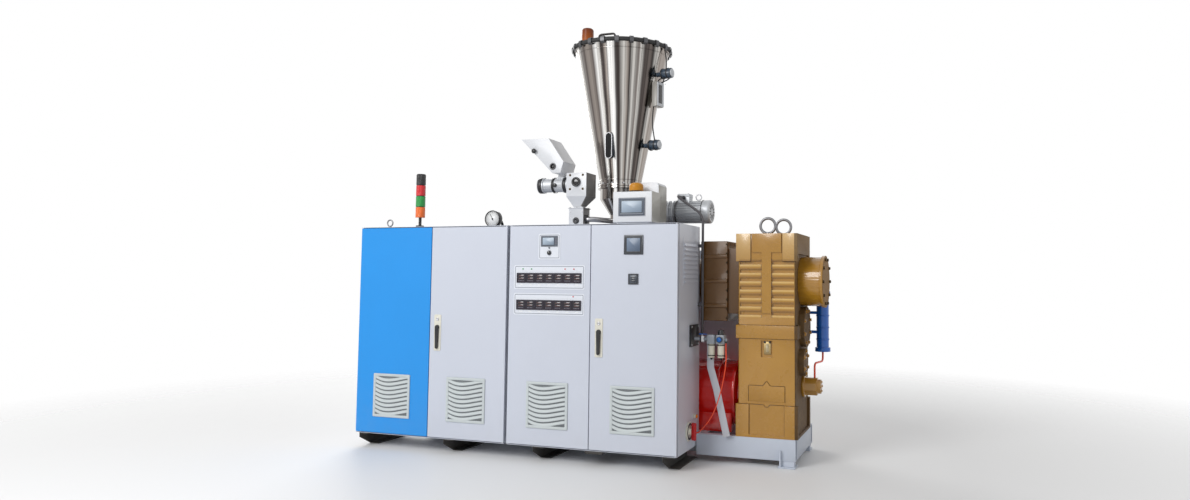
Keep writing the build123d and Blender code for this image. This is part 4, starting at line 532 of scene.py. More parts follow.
# %% Polished stainless
hopper_axis = (0.1325, 0.13125)
front_degrees = -67.5
glare, silver, warm = srgb(250, 249, 247), srgb(208, 205, 200), srgb(152, 143, 136)
brown, umber, deep = srgb(106, 98, 94), srgb(66, 60, 58), srgb(38, 34, 33)
front_bands = [
    (-88, warm), (-68, silver), (-56, brown), (-47, warm), (-39, brown), (-34, glare), (-30, silver),
    (-27, umber), (-24, umber), (-21, warm), (-17, glare), (-12, glare), (-8, umber), (-4, umber),
    (2, silver), (7, warm), (10, deep), (15, silver), (21, brown), (24, silver), (29, umber),
    (38, brown), (42, deep), (49, silver), (56, warm), (88, warm),
]
rear_bands = [(112, silver), (130, umber), (150, glare), (172, brown), (196, silver), (222, umber)]
band_stops = sorted(
    (((degrees + front_degrees + 180) % 360) / 360, colour) for degrees, colour in front_bands + rear_bands
)
stainless = Finish("polished_stainless", srgb(190, 184, 178), 0.14, 1.0)
away_x, away_y = stainless.x - hopper_axis[0], stainless.y - hopper_axis[1]
turn_share = away_y.maths("ARCTAN2", away_y, away_x) / (2 * math.pi) + 0.5


def stainless_lines(along, scale, detail):
    """Noise along one value only, so that it draws lines on the sheet."""
    sockets = {"W": along, "Scale": scale, "Detail": detail}
    return stainless.node("ShaderNodeTexNoise", {"noise_dimensions": "1D"}, sockets)[0]


sway = stainless_lines(stainless.z, 2.2, 1.0)
streaks = stainless_lines(turn_share, 260.0, 2.0)
scratches = stainless_lines(turn_share, 95.0, 2.0)
band_place = turn_share + (sway - 0.5) * 0.010 + (streaks - 0.5) * 0.008
banded = stainless.node("ShaderNodeValToRGB", {"stops": band_stops}, {0: band_place})[0]
stainless.set("Base Color", stainless.mix(scratches.ramp(0.56, 0.70) * 0.5, banded, deep))
stainless.set("Roughness", streaks * 0.08 + stainless.noise(5.0) * 0.08 + 0.1)
stainless.bump(streaks, 0.0003)
polished_stainless = stainless.material
print("bands", len(band_stops))

# %% [markdown]
# The lid is brushed steel with a cloudy sheen. Its handle is one solid with it and stands above
# the sheet, so the height alone makes the handle dark.

# %% Steel of the lid
lid_sheet_top = 3.0594
lid_finish = Finish("lid_steel", srgb(150, 144, 138), 0.2, 1.0)
cloudy_sheet = lid_finish.mix(lid_finish.noise(7.0), srgb(96, 90, 86), srgb(176, 170, 164))
lid_finish.set("Base Color", lid_finish.mix(lid_finish.z > lid_sheet_top, cloudy_sheet, srgb(44, 42, 42)))
lid_finish.set("Roughness", lid_finish.noise(30.0) * 0.15 + 0.15)
print("lid above", lid_sheet_top)

# %% [markdown]
# The signal tower's lamps are one solid with a groove between each two. The height picks the
# lamp: black base, orange, green, red, and the black cap. Fine rings inside a lens show as
# lines, so a wave along the height goes into the bump.

# %% Signal tower lamps
tower = Finish("tower_lamps", black, 0.25, Specular_IOR_Level=0.6)
lowest_lamp, lamp_height, lamp_groove = 1.722, 0.0825, 0.005
tower_colour = black
for lamp, lens_colour in enumerate([srgb(242, 112, 30), srgb(20, 150, 62), srgb(214, 26, 34)]):
    lamp_foot = lowest_lamp + lamp * lamp_height
    in_lamp = tower.z.between(lamp_foot, lamp_foot + lamp_height - lamp_groove)
    tower_colour = tower.mix(in_lamp, tower_colour, lens_colour)
tower.set("Base Color", tower_colour)
tower.bump(tower.z.wave(0.003), 0.0003)
print("lamps up to", lamp_foot + lamp_height)

# %% [markdown]
# Two amber beacons are one solid too: a tall one up on the hopper and a low dome to its right.
# Ribs inside the lens show as rings of painted light and shade. The tall lens is darker towards
# its top, and each has a base of its own colour.

# %% Beacons
amber = Finish("amber_dome", srgb(150, 84, 34), 0.3, Specular_IOR_Level=0.25)
rib_light_and_shade = amber.z.wave(0.0075).ramp(-1, 1)
tall_base_top, dome_base_top, between_beacons = 3.122, 1.892, 0.2
lower_lens = amber.mix(rib_light_and_shade, srgb(116, 48, 10), srgb(196, 106, 30))
upper_lens = amber.mix(rib_light_and_shade, srgb(74, 26, 8), srgb(128, 54, 18))
tall_lens = amber.mix(amber.z.ramp(3.16, 3.249), lower_lens, upper_lens)
dome_lens = amber.mix(rib_light_and_shade, srgb(168, 100, 18), srgb(228, 164, 52))
tall_lamp = amber.mix(amber.z < tall_base_top, tall_lens, srgb(206, 206, 196))
dome_lamp = amber.mix(amber.z < dome_base_top, dome_lens, srgb(58, 50, 44))
amber.set("Base Color", amber.mix(amber.x > between_beacons, tall_lamp, dome_lamp))
amber.bump(rib_light_and_shade, 0.0004)
print("bases of the beacons", tall_base_top, dome_base_top)

# %% [markdown]
# The cable conduit is a corrugated hose. Its rings are too fine for the shape, so one wave
# along the height gives both their painted light and shade and the bump.

# %% Conduit
conduit = Finish("conduit_grey", srgb(76, 74, 78), 0.55)
conduit_rings = conduit.z.wave(0.007).ramp(-1, 1)
# Painted light and shade of the rings: lighter crests, darker hollows.
conduit.set("Base Color", conduit.mix(conduit_rings, srgb(56, 54, 58), srgb(100, 97, 101)))
conduit.bump(conduit_rings, 0.0008)
print("finishes", len(bpy.data.materials))

# %% [markdown]
# The heat controllers stand on pale panels. The panel and its controllers are one solid, so the
# depth decides: in front of the panel's face is the dark glass of a controller. A thin grey
# line runs round inside each panel's edge.

# %% Instrument faces
door_face, panel_reach = -0.55075, 0.002
third_x, fourth_x = -0.1205, 0.5155


def panel_finish(name, face_colour, panels):
    """Pale panel with a thin rounded outline; whatever stands out further than the panel is dark."""
    pale, corner_inset, line_radius, half_line = srgb(222, 226, 234), 0.016, 0.006, 0.002
    panel = Finish(name, pale, 0.4)
    outline = 0.0
    for middle_x, middle_z, half_width, half_height in panels:
        outward_x = (abs(panel.x - middle_x) - (half_width - corner_inset)).above_zero()
        outward_z = (abs(panel.z - middle_z) - (half_height - corner_inset)).above_zero()
        corner = panel.x.maths("SQRT", outward_x * outward_x + outward_z * outward_z)
        outline = corner.between(line_radius - half_line, line_radius + half_line, soft=0.001) + outline
    printed = panel.mix(outline, pale, srgb(120, 126, 140))
    proud = panel.y < (door_face - panel_reach - 0.0006)
    panel.set("Base Color", panel.mix(proud, printed, face_colour))
    panel.set("Roughness", proud * -0.18 + 0.4)
    return panel.material


controller_panels = [(third_x, 1.28, 0.2755, 0.085), (third_x, 1.0905, 0.2755, 0.0765)]
controller_finish = panel_finish("controller_panels", srgb(34, 26, 40), controller_panels)
speed_finish = panel_finish("speed_panel_face", srgb(92, 98, 108), [(third_x, 1.4955, 0.0855, 0.0905)])
print("panels", len(controller_panels) + 1)

# %% [markdown]
# Each solid now gets its finish. Plain folded sheets stay as they are. Everything cast, turned
# or moulded gets its soft copy, with a radius that suits how it is made: half a millimetre on a
# turned edge, several on a casting. A few solids are left to the cells that make their finish.

# %% Finishes of the solids
sheet_finishes = [
    (cabinet_paint, "cabinet_sides cabinet_backs cabinet_roofs cabinet_floors side_louvre"),
    (cabinet_paint, "door_2 door_3_controls door_4"),
    (blue_paint, "door_1_blue"),
    (zinc_steel, "mounting_plates"),
    (controller_finish, "heat_controllers"),
    (speed_finish, "speed_panel"),
    (frame_paint, "rear_guard"),
]
soft_finishes = [
    (bright_steel, 0.0005, "door_pivots doser_pipe"),
    (bearer_paint, 0.002, "cabinet_bearers"),
    (cream_plastic, 0.0008, "lock_plate_2 lock_plate_4"),
    (moulded("instrument_case", srgb(52, 56, 64), 0.3), 0.001, "door_instruments"),
    (cream_plastic, 0.0015, "main_switch"),
    (moulded("switch_red", srgb(196, 24, 26), 0.3), 0.003, "main_switch_lever"),
    (tower.material, 0.0008, "signal_tower"),
    (eye_steel, 0.001, "lifting_eyes"),
    (frame_paint, 0.0015, "base_feet"),
    (frame_paint, 0.002, "barrel_stands"),
    (frame_paint, 0.003, "base_rails"),
    (frame_paint, 0.004, "base_cross_rails guard_posts"),
    (strut_paint, 0.001, "air_strut"),
    (gear_paint, 0.003, "oil_pump"),
    (shaded_gear_paint, 0.004, "distribution_box"),
    (motor_paint, 0.004, "drive_motor"),
    (cooler_paint, 0.002, "oil_cooler"),
    (pipe_red, 0.0005, "oil_pipe"),
    (dark_steel, 0.002, "barrel"),
    (dark_steel, 0.0015, "die_flange"),
    (cast_aluminium, 0.001, "barrel_heaters"),
    (black_plastic, 0.0012, "vacuum_gauge"),
    (polished_stainless, 0.0015, "feeder_throat"),
    (polished_stainless, 0.0008, "hopper"),
    (lid_finish.material, 0.0008, "hopper_lid"),
    (amber.material, 0.001, "beacons"),
    (silver_paint, 0.0018, "feeder_gearmotor"),
    (silver_paint, 0.002, "doser_motor"),
    (white_paint, 0.0008, "doser_hopper"),
    (conduit.material, 0.0005, "side_conduit"),
]
for material, nodes in sheet_finishes:
    for node in nodes.split():
        frame["nodes"][node].data.materials.clear()
        frame["nodes"][node].data.materials.append(material)
for material, width, nodes in soft_finishes:
    for node in nodes.split():
        soft_copy(node, material, width)
print("kinds of sheet", len(sheet_finishes), "kinds of soft copy", len(soft_finishes))

# %% [markdown]
# A few shapes come again and again on the small pieces: a plate and a ring with rounded corners
# on an upright face, a turned piece on any axis, a flat band round a shaft, and copies of a
# bolt in rows and circles. Each has a function.

# %% Shapes for the small pieces
leftwards, rightwards = (-1, 0, 0), (1, 0, 0)
frontwards, rearwards = (0, -1, 0), (0, 1, 0)
downwards, upwards = (0, 0, -1), (0, 0, 1)
both_ways = (-1, 1)


def rounded_square(half_width, half_height, corner, steps=5):
    """Points round a rectangle whose corners are quarter circles: centre + radius (cos t, sin t)."""
    points = []
    for quarter, (side_x, side_z) in enumerate([(1, 1), (-1, 1), (-1, -1), (1, -1)]):
        angle = np.linspace(0, np.pi / 2, steps) + quarter * np.pi / 2
        centre = np.array([side_x * (half_width - corner), side_z * (half_height - corner)])
        points.append(centre + corner * np.stack([np.cos(angle), np.sin(angle)], axis=1))
    return np.concatenate(points)


def upright(middle, half, corner, inset, reach, face_y):
    """A rounded rectangle on an upright face, made smaller by inset, standing out by reach."""
    outline = rounded_square(half[0] - inset, half[1] - inset, corner)
    return np.insert(outline + middle, 1, face_y - reach, axis=1)


def frame_ring(middle, half, corner, profile, face_y):
    """A closed profile of (inset, reach) pairs carried round a rounded rectangle."""
    rows = [
        upright(middle, half, max(corner - inset, 0.0008), inset, reach, face_y)
        for inset, reach in profile
    ]
    return np.concatenate(rows), ring_faces(len(rows), len(rows[0]))


def plate(middle, half, corner, low, high, face_y=door_face, edge=0.0006):
    """A plate with rounded corners on an upright face, from reach low to reach high."""
    profile = [(0, low), (0, high - edge), (edge, high)]
    rows = [upright(middle, half, corner, inset, reach, face_y) for inset, reach in profile]
    return np.concatenate(rows), tube_faces(len(rows), len(rows[0]))


def along_x(section, middle_x, half_length, steps, shift_y, shift_z):
    """Rows of a (z, y) section along X, each shifted, with a cap at both ends."""
    x = np.repeat(middle_x + np.linspace(-1, 1, steps) * half_length, len(section)).reshape(steps, -1)
    y = np.broadcast_to(section[:, 1] + shift_y, x.shape)
    z = np.broadcast_to(section[:, 0] + shift_z, x.shape)
    return np.stack([x, y, z], axis=-1).reshape(-1, 3), tube_faces(steps, len(section))


def band(inner, outer, half, cut=0.0):
    """The closed profile of a flat ring from one radius to the other, its outer edges cut back."""
    return [(inner, -half), (outer, cut - half), (outer, half - cut), (inner, half)]


def ring_about(middle, axis, profile, sides=48):
    """A closed profile of (radius, height) pairs turned about an axis through the middle."""
    points = around_z(profile, sides) @ turned_to(axis).T + np.asarray(middle, float)
    return points, ring_faces(len(profile), sides)


def turned_on(middle, axis, profile, sides=32):
    """A solid of revolution that stands on the middle, along the axis."""
    return placed(turned_profile(profile, sides), [middle], [turned_to(axis)])


def bolts_at(places, axis, bolt):
    """Copies of a bolt at these places, each standing along the axis."""
    return placed(bolt, places, [turned_to(axis)] * len(places))


def bolt_circle(middle, axis, radius, count, bolt, start=0.0):
    """Copies of a bolt at equal angles round an axis: middle + radius (cos t, sin t)."""
    angles = np.radians(start) + 2 * np.pi * np.arange(count) / count
    ring = np.stack([radius * np.cos(angles), radius * np.sin(angles), np.zeros(count)], axis=1)
    return bolts_at(list(np.asarray(middle, float) + ring @ turned_to(axis).T), axis, bolt)


def add_turned(name, middle, axis, profile, material, slot, sides=32, flat=False, body="machine"):
    """A turned piece that stands on the middle, along the axis."""
    add_piece(name, turned_on(middle, axis, profile, sides), material, slot, body, flat)


def add_bolts(name, places, axis, bolt, material, slot, flat=True, body="machine"):
    """A piece of like bolts at these places."""
    add_piece(name, bolts_at(places, axis, bolt), material, slot, body, flat)


print("box of the hopper", [corner.round(4).tolist() for corner in box_of("hopper")])

# %% [markdown]
# Each door has a filter grille: a moulded frame with rounded corners, nine hooded slats that
# dip and rise along their length, and a fibre pad behind them. A slat is one closed section of
# six points carried along a wave. The frame is a ring carried round a rounded square.

# %% Filter grilles
slat_count, border, held = 9, 0.020, 0.012
slat_wave = np.polyfit([-1.0, -0.5, 0.4, 1.0], [0.80, -0.62, 0.02, 1.10], 3)
frame_profile = [(0, 0.0), (0, 0.005), (0.0012, 0.0072), (0.003, 0.008), (0.017, 0.008), (0.019, 0.0068),
                 (0.020, 0.004), (0.020, 0.0)]
slat_rises = np.array([0.38, 0.32, -0.14, -0.27, -0.33, -0.27])
slat_reaches = np.array([0.0008, 0.0036, 0.0072, 0.0074, 0.0060, 0.0008])
# The pad is real fibre, but its grey is darker than the fibre's own: painted shade for the gaps between the
# slats.
shaded_pad_fibre = Finish("filter_fibre_and_shade", srgb(126, 130, 134), 0.95)
fibres = shaded_pad_fibre.noise(260.0, detail=5.0)
shaded_pad_fibre.set("Base Color", shaded_pad_fibre.mix(fibres, srgb(92, 97, 101), srgb(146, 150, 153)))
shaded_pad_fibre.bump(shaded_pad_fibre.noise(700.0), 0.0008)


def slat(middle_x, middle_z, half_length, pitch, low_z, high_z, steps=36):
    """One hooded slat: z = middle + wave(x) + rise. Where it would leave the grille, it is held
    under the frame."""
    section = np.stack([slat_rises * pitch, -slat_reaches], axis=1)
    rise = middle_z + np.polyval(slat_wave, np.linspace(-1, 1, steps))[:, None] * pitch / 2
    points, faces = along_x(section, middle_x, half_length, steps, door_face, rise)
    points[:, 2] = np.clip(points[:, 2], low_z, high_z)
    return points, faces


for number in range(1, 5):
    low, high = box_of(f"grille_{number}")
    middle, half = ((low + high) / 2)[[0, 2]], ((high - low) / 2)[[0, 2]]
    inner = half - border
    pitch = 2 * inner[1] / slat_count
    slat_heights = middle[1] + (np.arange(slat_count) - (slat_count - 1) / 2) * pitch
    parts = [frame_ring(middle, half, 0.006, frame_profile, door_face)]
    under_frame = (low[2] + held, high[2] - held)
    parts += [slat(middle[0], z, inner[0] + 0.002, pitch, *under_frame) for z in slat_heights]
    door = f"door_{number}"
    grille = add_piece(f"filter_grille_{number}", joined(parts), grille_plastic, "grille_plastic", door)
    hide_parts(f"grille_{number}")
    pad = plate(middle, inner + 0.001, 0.002, 0.0002, 0.0010, edge=0.0002)
    add_piece(f"filter_pad_{number}", pad, shaded_pad_fibre.material, "grille_plastic", door)
print("slat pitch", round(pitch * 1000, 1), "mm")

# %% [markdown]
# A heat controller shows the wanted and the real temperature in two windows, above four keys.
# Under each one sits a small blank label. Fourteen of them are copies of one face. The glass is
# set back, so the pieces stand on the floor of the recess.

# %% Faces of the heat controllers
window_glass = Finish("window_glass", srgb(16, 14, 18), 0.08, Specular_IOR_Level=0.7).material
segment_red = Finish("segment_red", srgb(92, 34, 40), 0.3).material
key_plastic = moulded("key_plastic", srgb(104, 100, 112), 0.4)
label_plastic = moulded("label_plastic", srgb(238, 240, 242))
lens_green = Finish("lens_green", srgb(36, 150, 70), 0.2).material
lens_red = Finish("lens_red", srgb(206, 30, 30), 0.2).material
panels_low, panels_high = box_of("heat_controllers")
controller_pitch, recess = 0.0724, 0.0065
upper_window, lower_window, key_row = 0.0140, -0.0050, -0.0205
upper_row, lower_row = panels_high[2] - 0.091, panels_low[2] + 0.0705
controller_places = [
    (third_x + (column - 3) * controller_pitch, 0, row_z)
    for row_z in (upper_row, lower_row) for column in range(7)
]
windows = joined([
    plate((0, rise), (0.0225, half_rise), 0.001, recess - 0.0005, recess + 0.0006)
    for rise, half_rise in ((upper_window, 0.0085), (lower_window, 0.0070))
])
digits = joined([
    plate((-0.0135 + 0.009 * digit, rise), (0.0024, 0.0036), 0.0004, recess, recess + 0.0009, edge=0.0001)
    for rise in (upper_window, lower_window) for digit in range(4)
])
keys = joined([
    plate((-0.0165 + 0.011 * key, key_row), (0.0042, 0.0028), 0.0012, recess - 0.0005, recess + 0.0012)
    for key in range(4)
])
label = placed(plate((0, 0), (0.0120, 0.0038), 0.0008, 0.0018, 0.0026), [(0, 0, -0.0475)])
for name, face_part, material in (
    ("windows", windows, window_glass), ("digits", digits, segment_red),
    ("keys", keys, key_plastic), ("labels", label, label_plastic),
):
    face_parts = placed(face_part, controller_places)
    add_piece("controller_" + name, face_parts, material, "instrument_grey", "door_3")
lens = turned_profile([(0.0048, 0), (0.0048, 0.0022), (0.0034, 0.0036)], sides=16)
lens_y, lens_z, lens_pitch = door_face - 0.0018, upper_row + 0.063, 0.068
green_places = [(third_x - 0.205 + lens_pitch * place, lens_y, lens_z) for place in range(2)]
red_places = [(third_x + 0.125 + lens_pitch * place, lens_y, lens_z) for place in range(2)]
red_places.append((third_x + 0.19, lens_y, lower_row + 0.0615))
for name, places, material in (("green", green_places, lens_green), ("red", red_places, lens_red)):
    add_bolts("panel_lenses_" + name, places, frontwards, lens, material, "instrument_grey", False, "door_3")
print("controllers", len(controller_places))

# %% [markdown]
# The feeder's control box is white in front. Its right-hand sides are greyer: painted shade, and
# partly a warmer, greyer surface of their own. Its tall part stands further back, so two places
# along X mark the sides. The doser's body is treated in the same way further down.


# %% Control box of the feeder
def shade_sided_enamel(paint, on_side, scale, tones, duller, patchy):
    """White enamel whose sides are greyer, as painted shade, and, by duller, less glossy."""
    cloud = paint.noise(scale, detail=5.0)
    paint.set("Base Color", paint.mix(on_side, white, paint.mix(cloud, *tones)))
    paint.set("Roughness", on_side * duller + cloud * patchy + 0.3)
    return paint.material


side_depth = 0.0015
box_low, box_high = box_of("feeder_box")
tall_right, tall_front = 0.5965, box_low[1] + 0.171
box_paint = enamel("feeder_box_paint", white)
# Painted shade, and partly a greyer finish: the right-hand faces of the box and of its tall part.
tall_side = (box_paint.x > tall_right - side_depth) * (box_paint.y > tall_front)
box_side = (box_paint.x > box_high[0] - side_depth) + tall_side
box_shade_greys = (srgb(166, 163, 154), srgb(186, 183, 174))
soft_copy("feeder_box", shade_sided_enamel(box_paint, box_side, 3.0, box_shade_greys, 0.0, 0.14), 0.0025)
print("tall part from", round(tall_front, 3))

# %% [markdown]
# A display is glass over a pale liquid-crystal field inside a dark bezel. The field isn't even:
# it is lighter towards the upper left, where the room shows in it. One function makes a display
# anywhere on an upright face.


# %% Displays
def screen_glass(name, tones, middle, half):
    """A pale field that grows lighter from the lower right to the upper left corner."""
    glass = Finish(name, tones[1], 0.28, Specular_IOR_Level=0.4)
    rise = (glass.z - float(middle[1])) * (0.3 / half[1])
    across = (glass.x - float(middle[0])) * (0.2 / half[0])
    glass.set("Base Color", glass.mix(rise - across + 0.5, *tones))
    return glass.material


pale_field = (srgb(128, 144, 162), srgb(186, 200, 214))
dusk_field = (srgb(78, 92, 112), srgb(124, 140, 162))
meter_field = (srgb(58, 64, 74), srgb(92, 100, 112))
bezel_blue = moulded("bezel_blue", srgb(74, 82, 96))
screen_middle, screen_y = (0.4595, box_low[2] + 0.1225), box_low[1] + 0.006
on_third, on_fourth = ("instrument_grey", "door_3"), ("instrument_grey", "door_4")
on_box = ("box_white", "machine")
displays = [
    ("speed_display", (third_x - 0.008, 1.5325), (0.050, 0.031), 0.006, 0.0055, 0.0072, 0.0062,
     on_third, pale_field, door_face, bezel_blue),
    ("door_screen", (fourth_x, 1.504), (0.0565, 0.053), 0.007, 0.0050, 0.0068, 0.0060,
     on_fourth, dusk_field, door_face, black_plastic),
    ("door_meter", (fourth_x, 1.271), (0.0295, 0.0295), 0.004, 0.0050, 0.0066, 0.0059,
     on_fourth, meter_field, door_face, black_plastic),
    ("feeder_screen", screen_middle, (0.098, 0.0625), 0.016, 0.0055, 0.0085, 0.0066,
     on_box, pale_field, screen_y, bezel_blue),
    ("feeder_screen_rim", screen_middle, (0.080, 0.0445), 0.004, 0.0060, 0.0078, 0.0070,
     on_box, pale_field, screen_y, black_plastic),
]
for name, middle, half, border, foot, crest, field_reach, where, tones, face_y, bezel in displays:
    profile = [(0, foot), (0, crest - 0.0006), (0.0008, crest), (border - 0.0008, crest),
               (border, crest - 0.0006), (border, foot)]
    add_piece(name + "_bezel", frame_ring(middle, half, 0.003, profile, face_y), bezel, *where)
    inner = (half[0] - border + 0.0006, half[1] - border + 0.0006)
    field = plate(middle, inner, 0.001, foot, field_reach, face_y, edge=0.0002)
    add_piece(name + "_field", field, screen_glass(name + "_glass", tones, middle, inner), *where)
speed_keys = [
    plate((third_x + 0.0535, 1.5155 + 0.0115 * key), (0.0042, 0.0036), 0.001, 0.0055, 0.0072)
    for key in range(4)
]
add_piece("speed_keys", joined(speed_keys), key_plastic, *on_third)
meter_lines = [
    plate((fourth_x, 1.2590 + 0.0125 * line), (0.018, 0.0036), 0.0008, 0.0056, 0.0072)
    for line in range(3)
]
add_piece("meter_windows", joined(meter_lines), window_glass, *on_fourth)
print("displays", len(displays))

# %% [markdown]
# The selector's white pointer is printed on its grip, so it is part of the knob's finish and
# turns with it. Five small marks stand round it on the panel.

# %% Speed selector
knob_low, knob_high = box_of("speed_selector")
half_pointer, tick_radius, knob_z = 0.0013, 0.0225, 1.451
knob = Finish("selector_finish", soft_black, 0.35)
on_line = knob.x.between(third_x - half_pointer, third_x + half_pointer, soft=0.0003)
on_line = on_line * (knob.y < knob_low[1] + 0.002)
pointer = on_line * knob.z.between(knob_high[2] - 0.0110, knob_high[2] - 0.0020, soft=0.0003)
knob.set("Base Color", knob.mix(pointer, soft_black, srgb(238, 240, 242)))
knob.bump(knob.noise(900.0, detail=1.0), 0.00003)
soft_copy("speed_selector", knob.material, 0.0012)
tick_middles = circle(tick_radius, 12)[[5, 4, 3, 2, 1]] + (third_x, knob_z)
ticks = [plate(tick, (0.0011, 0.0011), 0.0005, 0.0018, 0.0024, edge=0.0001) for tick in tick_middles]
add_piece("selector_ticks", joined(ticks), window_glass, *on_third)
print("marks round the selector", len(ticks))

# %% [markdown]
# Each lock has a round key cover above its lever, on the plate. The lever's grip has a ridged
# pad. The grips reach exactly to the front of the machine's box, so the ridges are in the
# finish: a wave along the height inside the pad's own zone.

# %% Locks
cover_profile = [(0.0125, 0), (0.0125, 0.0022), (0.0112, 0.0030), (0.0045, 0.0030), (0.0040, 0.0018)]
half_pad, pad_foot, pad_top = 0.0052, 0.016, 0.088
for number in (2, 4):
    plate_low, plate_high = box_of(f"lock_plate_{number}")
    lever_low, lever_high = box_of(f"lock_lever_{number}")
    lock_x = (lever_low[0] + lever_high[0]) / 2
    cover_place = (lock_x, plate_low[1] + 0.0001, plate_high[2] - 0.034)
    add_turned(f"key_cover_{number}", cover_place, frontwards, cover_profile, bright_steel, "lock_cream",
               sides=28, body=f"door_{number}")
    lever = Finish(f"lever_finish_{number}", black, 0.35)
    in_pad = lever.x.between(lock_x - half_pad, lock_x + half_pad) * (lever.y < lever_low[1] + 0.001)
    in_pad = in_pad * lever.z.between(lever_low[2] + pad_foot, lever_low[2] + pad_top)
    pad_ridges = in_pad * lever.z.wave(0.004).ramp(-1, 1)
    lever.set("Base Color", lever.mix(pad_ridges, black, srgb(52, 52, 54)))
    lever.set("Roughness", in_pad * 0.3 + 0.35)
    lever.bump(pad_ridges, 0.0004)
    soft_copy(f"lock_lever_{number}", lever.material, 0.0008)
print("key covers at", round(plate_high[2] - 0.034, 3))

# %% [markdown]
# The vacuum gauge needs a dial: a white disc in the case, printed marks, a needle and a hub.
# The marks run over three quarters of a turn and every fifth is longer. Each is a small block
# turned to its own angle, so they all come from one list of angles.


# %% Vacuum gauge dial
def dial_mark(degrees, outer, length, width, back, front):
    """A block along a radius: along = (cos, sin) of the angle, across = (-sin, cos)."""
    along = np.array([math.cos(math.radians(degrees)), math.sin(math.radians(degrees))])
    across = np.array([-along[1], along[0]]) * width / 2
    tip, root = outer * along, (outer - length) * along
    corners = [tip - across, tip + across, root + across, root - across]
    points = np.array([(x, -reach, z) for reach in (front, back) for x, z in corners])
    return points, [[0, 1, 2, 3], [7, 6, 5, 4], [0, 4, 5, 1], [1, 5, 6, 2], [2, 6, 7, 3], [3, 7, 4, 0]]


gauge_low, gauge_high = box_of("vacuum_gauge")
gauge_radius, glass_drop = (gauge_high[0] - gauge_low[0]) / 2, 0.005
gauge_front = np.array([(gauge_low[0] + gauge_high[0]) / 2, gauge_low[1], gauge_high[2] - gauge_radius])
dial_middle = gauge_front + (0, glass_drop, 0)
marks = [
    dial_mark(225 - 9 * mark, 0.057, 0.006 if mark % 5 else 0.0105, 0.0017, 0.0009, 0.0018)
    for mark in range(31)
]
marks.append(dial_mark(118, 0.046, 0.062, 0.0034, 0.0022, 0.0030))
marks.append(turned_on((0, 0, 0), frontwards, [(0.0075, 0), (0.0075, 0.0032), (0.0050, 0.0042)], sides=24))
dial_white = moulded("dial_white", srgb(242, 243, 242), 0.3)
dial_profile = [(gauge_radius - 0.0062, -0.0004), (gauge_radius - 0.0062, 0.0010)]
add_turned("gauge_dial", dial_middle, frontwards, dial_profile, dial_white, "gauge_black", sides=48)
add_piece("gauge_marks", placed(joined(marks), [dial_middle]), window_glass, "gauge_black", flat=True)
bezel_band = band(gauge_radius - 0.006, gauge_radius - 0.001, 0.0009)
gauge_bezel = ring_about(gauge_front - (0, 0.0007, 0), frontwards, bezel_band)
add_piece("gauge_bezel", gauge_bezel, black_plastic, "gauge_black")
print("parts on the dial", len(marks))

# %% [markdown]
# The hopper's rim is closed by a dark gasket and spring clamps. A clamp is a bent strap: a ring
# of four points carried along a hook-shaped path. All clamps are copies of one, turned about
# the hopper's axis. A round weld seam and the bolts of the foot flange come in the same way.

# %% Hopper rim, clamps and seams
hopper_low, hopper_high = box_of("hopper")
rim_radius, rim_z, foot_z = (hopper_high[0] - hopper_low[0]) / 2, hopper_high[2], hopper_low[2]
hopper_middle = np.array([*hopper_axis, 0.0])
rim_middle = hopper_middle + (0, 0, rim_z)
gasket_profile = [(rim_radius - 0.002, -0.0235), (rim_radius + 0.009, -0.0235), (rim_radius + 0.014, -0.017),
                  (rim_radius + 0.014, -0.004), (rim_radius + 0.009, 0.0062), (rim_radius - 0.002, 0.0062)]
add_piece("hopper_gasket", ring_about(rim_middle, upwards, gasket_profile, 120), black_rubber, "stainless")
clamp_hook = [(-0.020, 0.0100), (0.004, 0.0130), (0.0165, 0.0100),
              (0.0185, -0.006), (0.0175, -0.026), (0.004, -0.038)]
clamp_path = rounded_route([(rim_radius + out, 0, rise) for out, rise in clamp_hook], 0.005)
strap = along_path(clamp_path, [(-0.015, -0.0016), (0.015, -0.0016), (0.015, 0.0016), (-0.015, 0.0016)])
clamp_count = 22
clamp_angles = 2 * np.pi * (np.arange(clamp_count) + 0.5) / clamp_count
clamp_turns = [
    [[math.cos(a), -math.sin(a), 0], [math.sin(a), math.cos(a), 0], [0, 0, 1]] for a in clamp_angles
]
clamps = placed(strap, [rim_middle] * clamp_count, clamp_turns)
add_piece("hopper_clamps", clamps, dark_steel, "stainless", flat=True)
foot_radius, rim_height, sheet_foot = 0.157, 0.022, 0.018
cone_foot_z = foot_z + sheet_foot
cone_slope = (rim_radius - 0.010 - foot_radius) / (rim_z - rim_height - cone_foot_z)


def cone_radius(height):
    """The cone's outer radius at a height: foot radius + slope * height above the foot flange."""
    return foot_radius + cone_slope * (height - cone_foot_z)


def seam_ring(height, swell=0.0022):
    """A half-round weld bead round the cone."""
    radius = cone_radius(height)
    profile = [(radius - 0.001, -0.004), (radius + swell * 0.7, -0.003), (radius + swell, 0),
               (radius + swell * 0.7, 0.003), (radius - 0.001, 0.004)]
    return ring_about(hopper_middle + (0, 0, height), upwards, profile, sides=120)


seams = joined([seam_ring(foot_z + 0.052), seam_ring(rim_z - 0.062)])
add_piece("hopper_seams", seams, polished_stainless, "stainless")
throat_end = box_of("feeder_throat")[1][0] - 0.014
feed_axis = np.array([0.0, hopper_axis[1], 1.775])
hopper_bolts = joined([
    bolt_circle((*hopper_axis, cone_foot_z), upwards, 0.1665, 12, hexagon_bolt(0.0085, 0.009, 0.002)),
    bolt_circle(feed_axis + (throat_end, 0, 0), leftwards, 0.088, 12, small_bolt),
])
add_piece("hopper_bolts", hopper_bolts, bright_steel, "stainless", flat=True)
print("clamps", clamp_count, "cone slope", round(cone_slope, 4))

# %% [markdown]
# Level sensors, their terminal box and the sight glass are one solid. The height picks the
# finish: grey box, slate-blue sensor heads. Caps, rings and a clear strip are small added
# pieces, and the cables hang in loops from each head to the box.

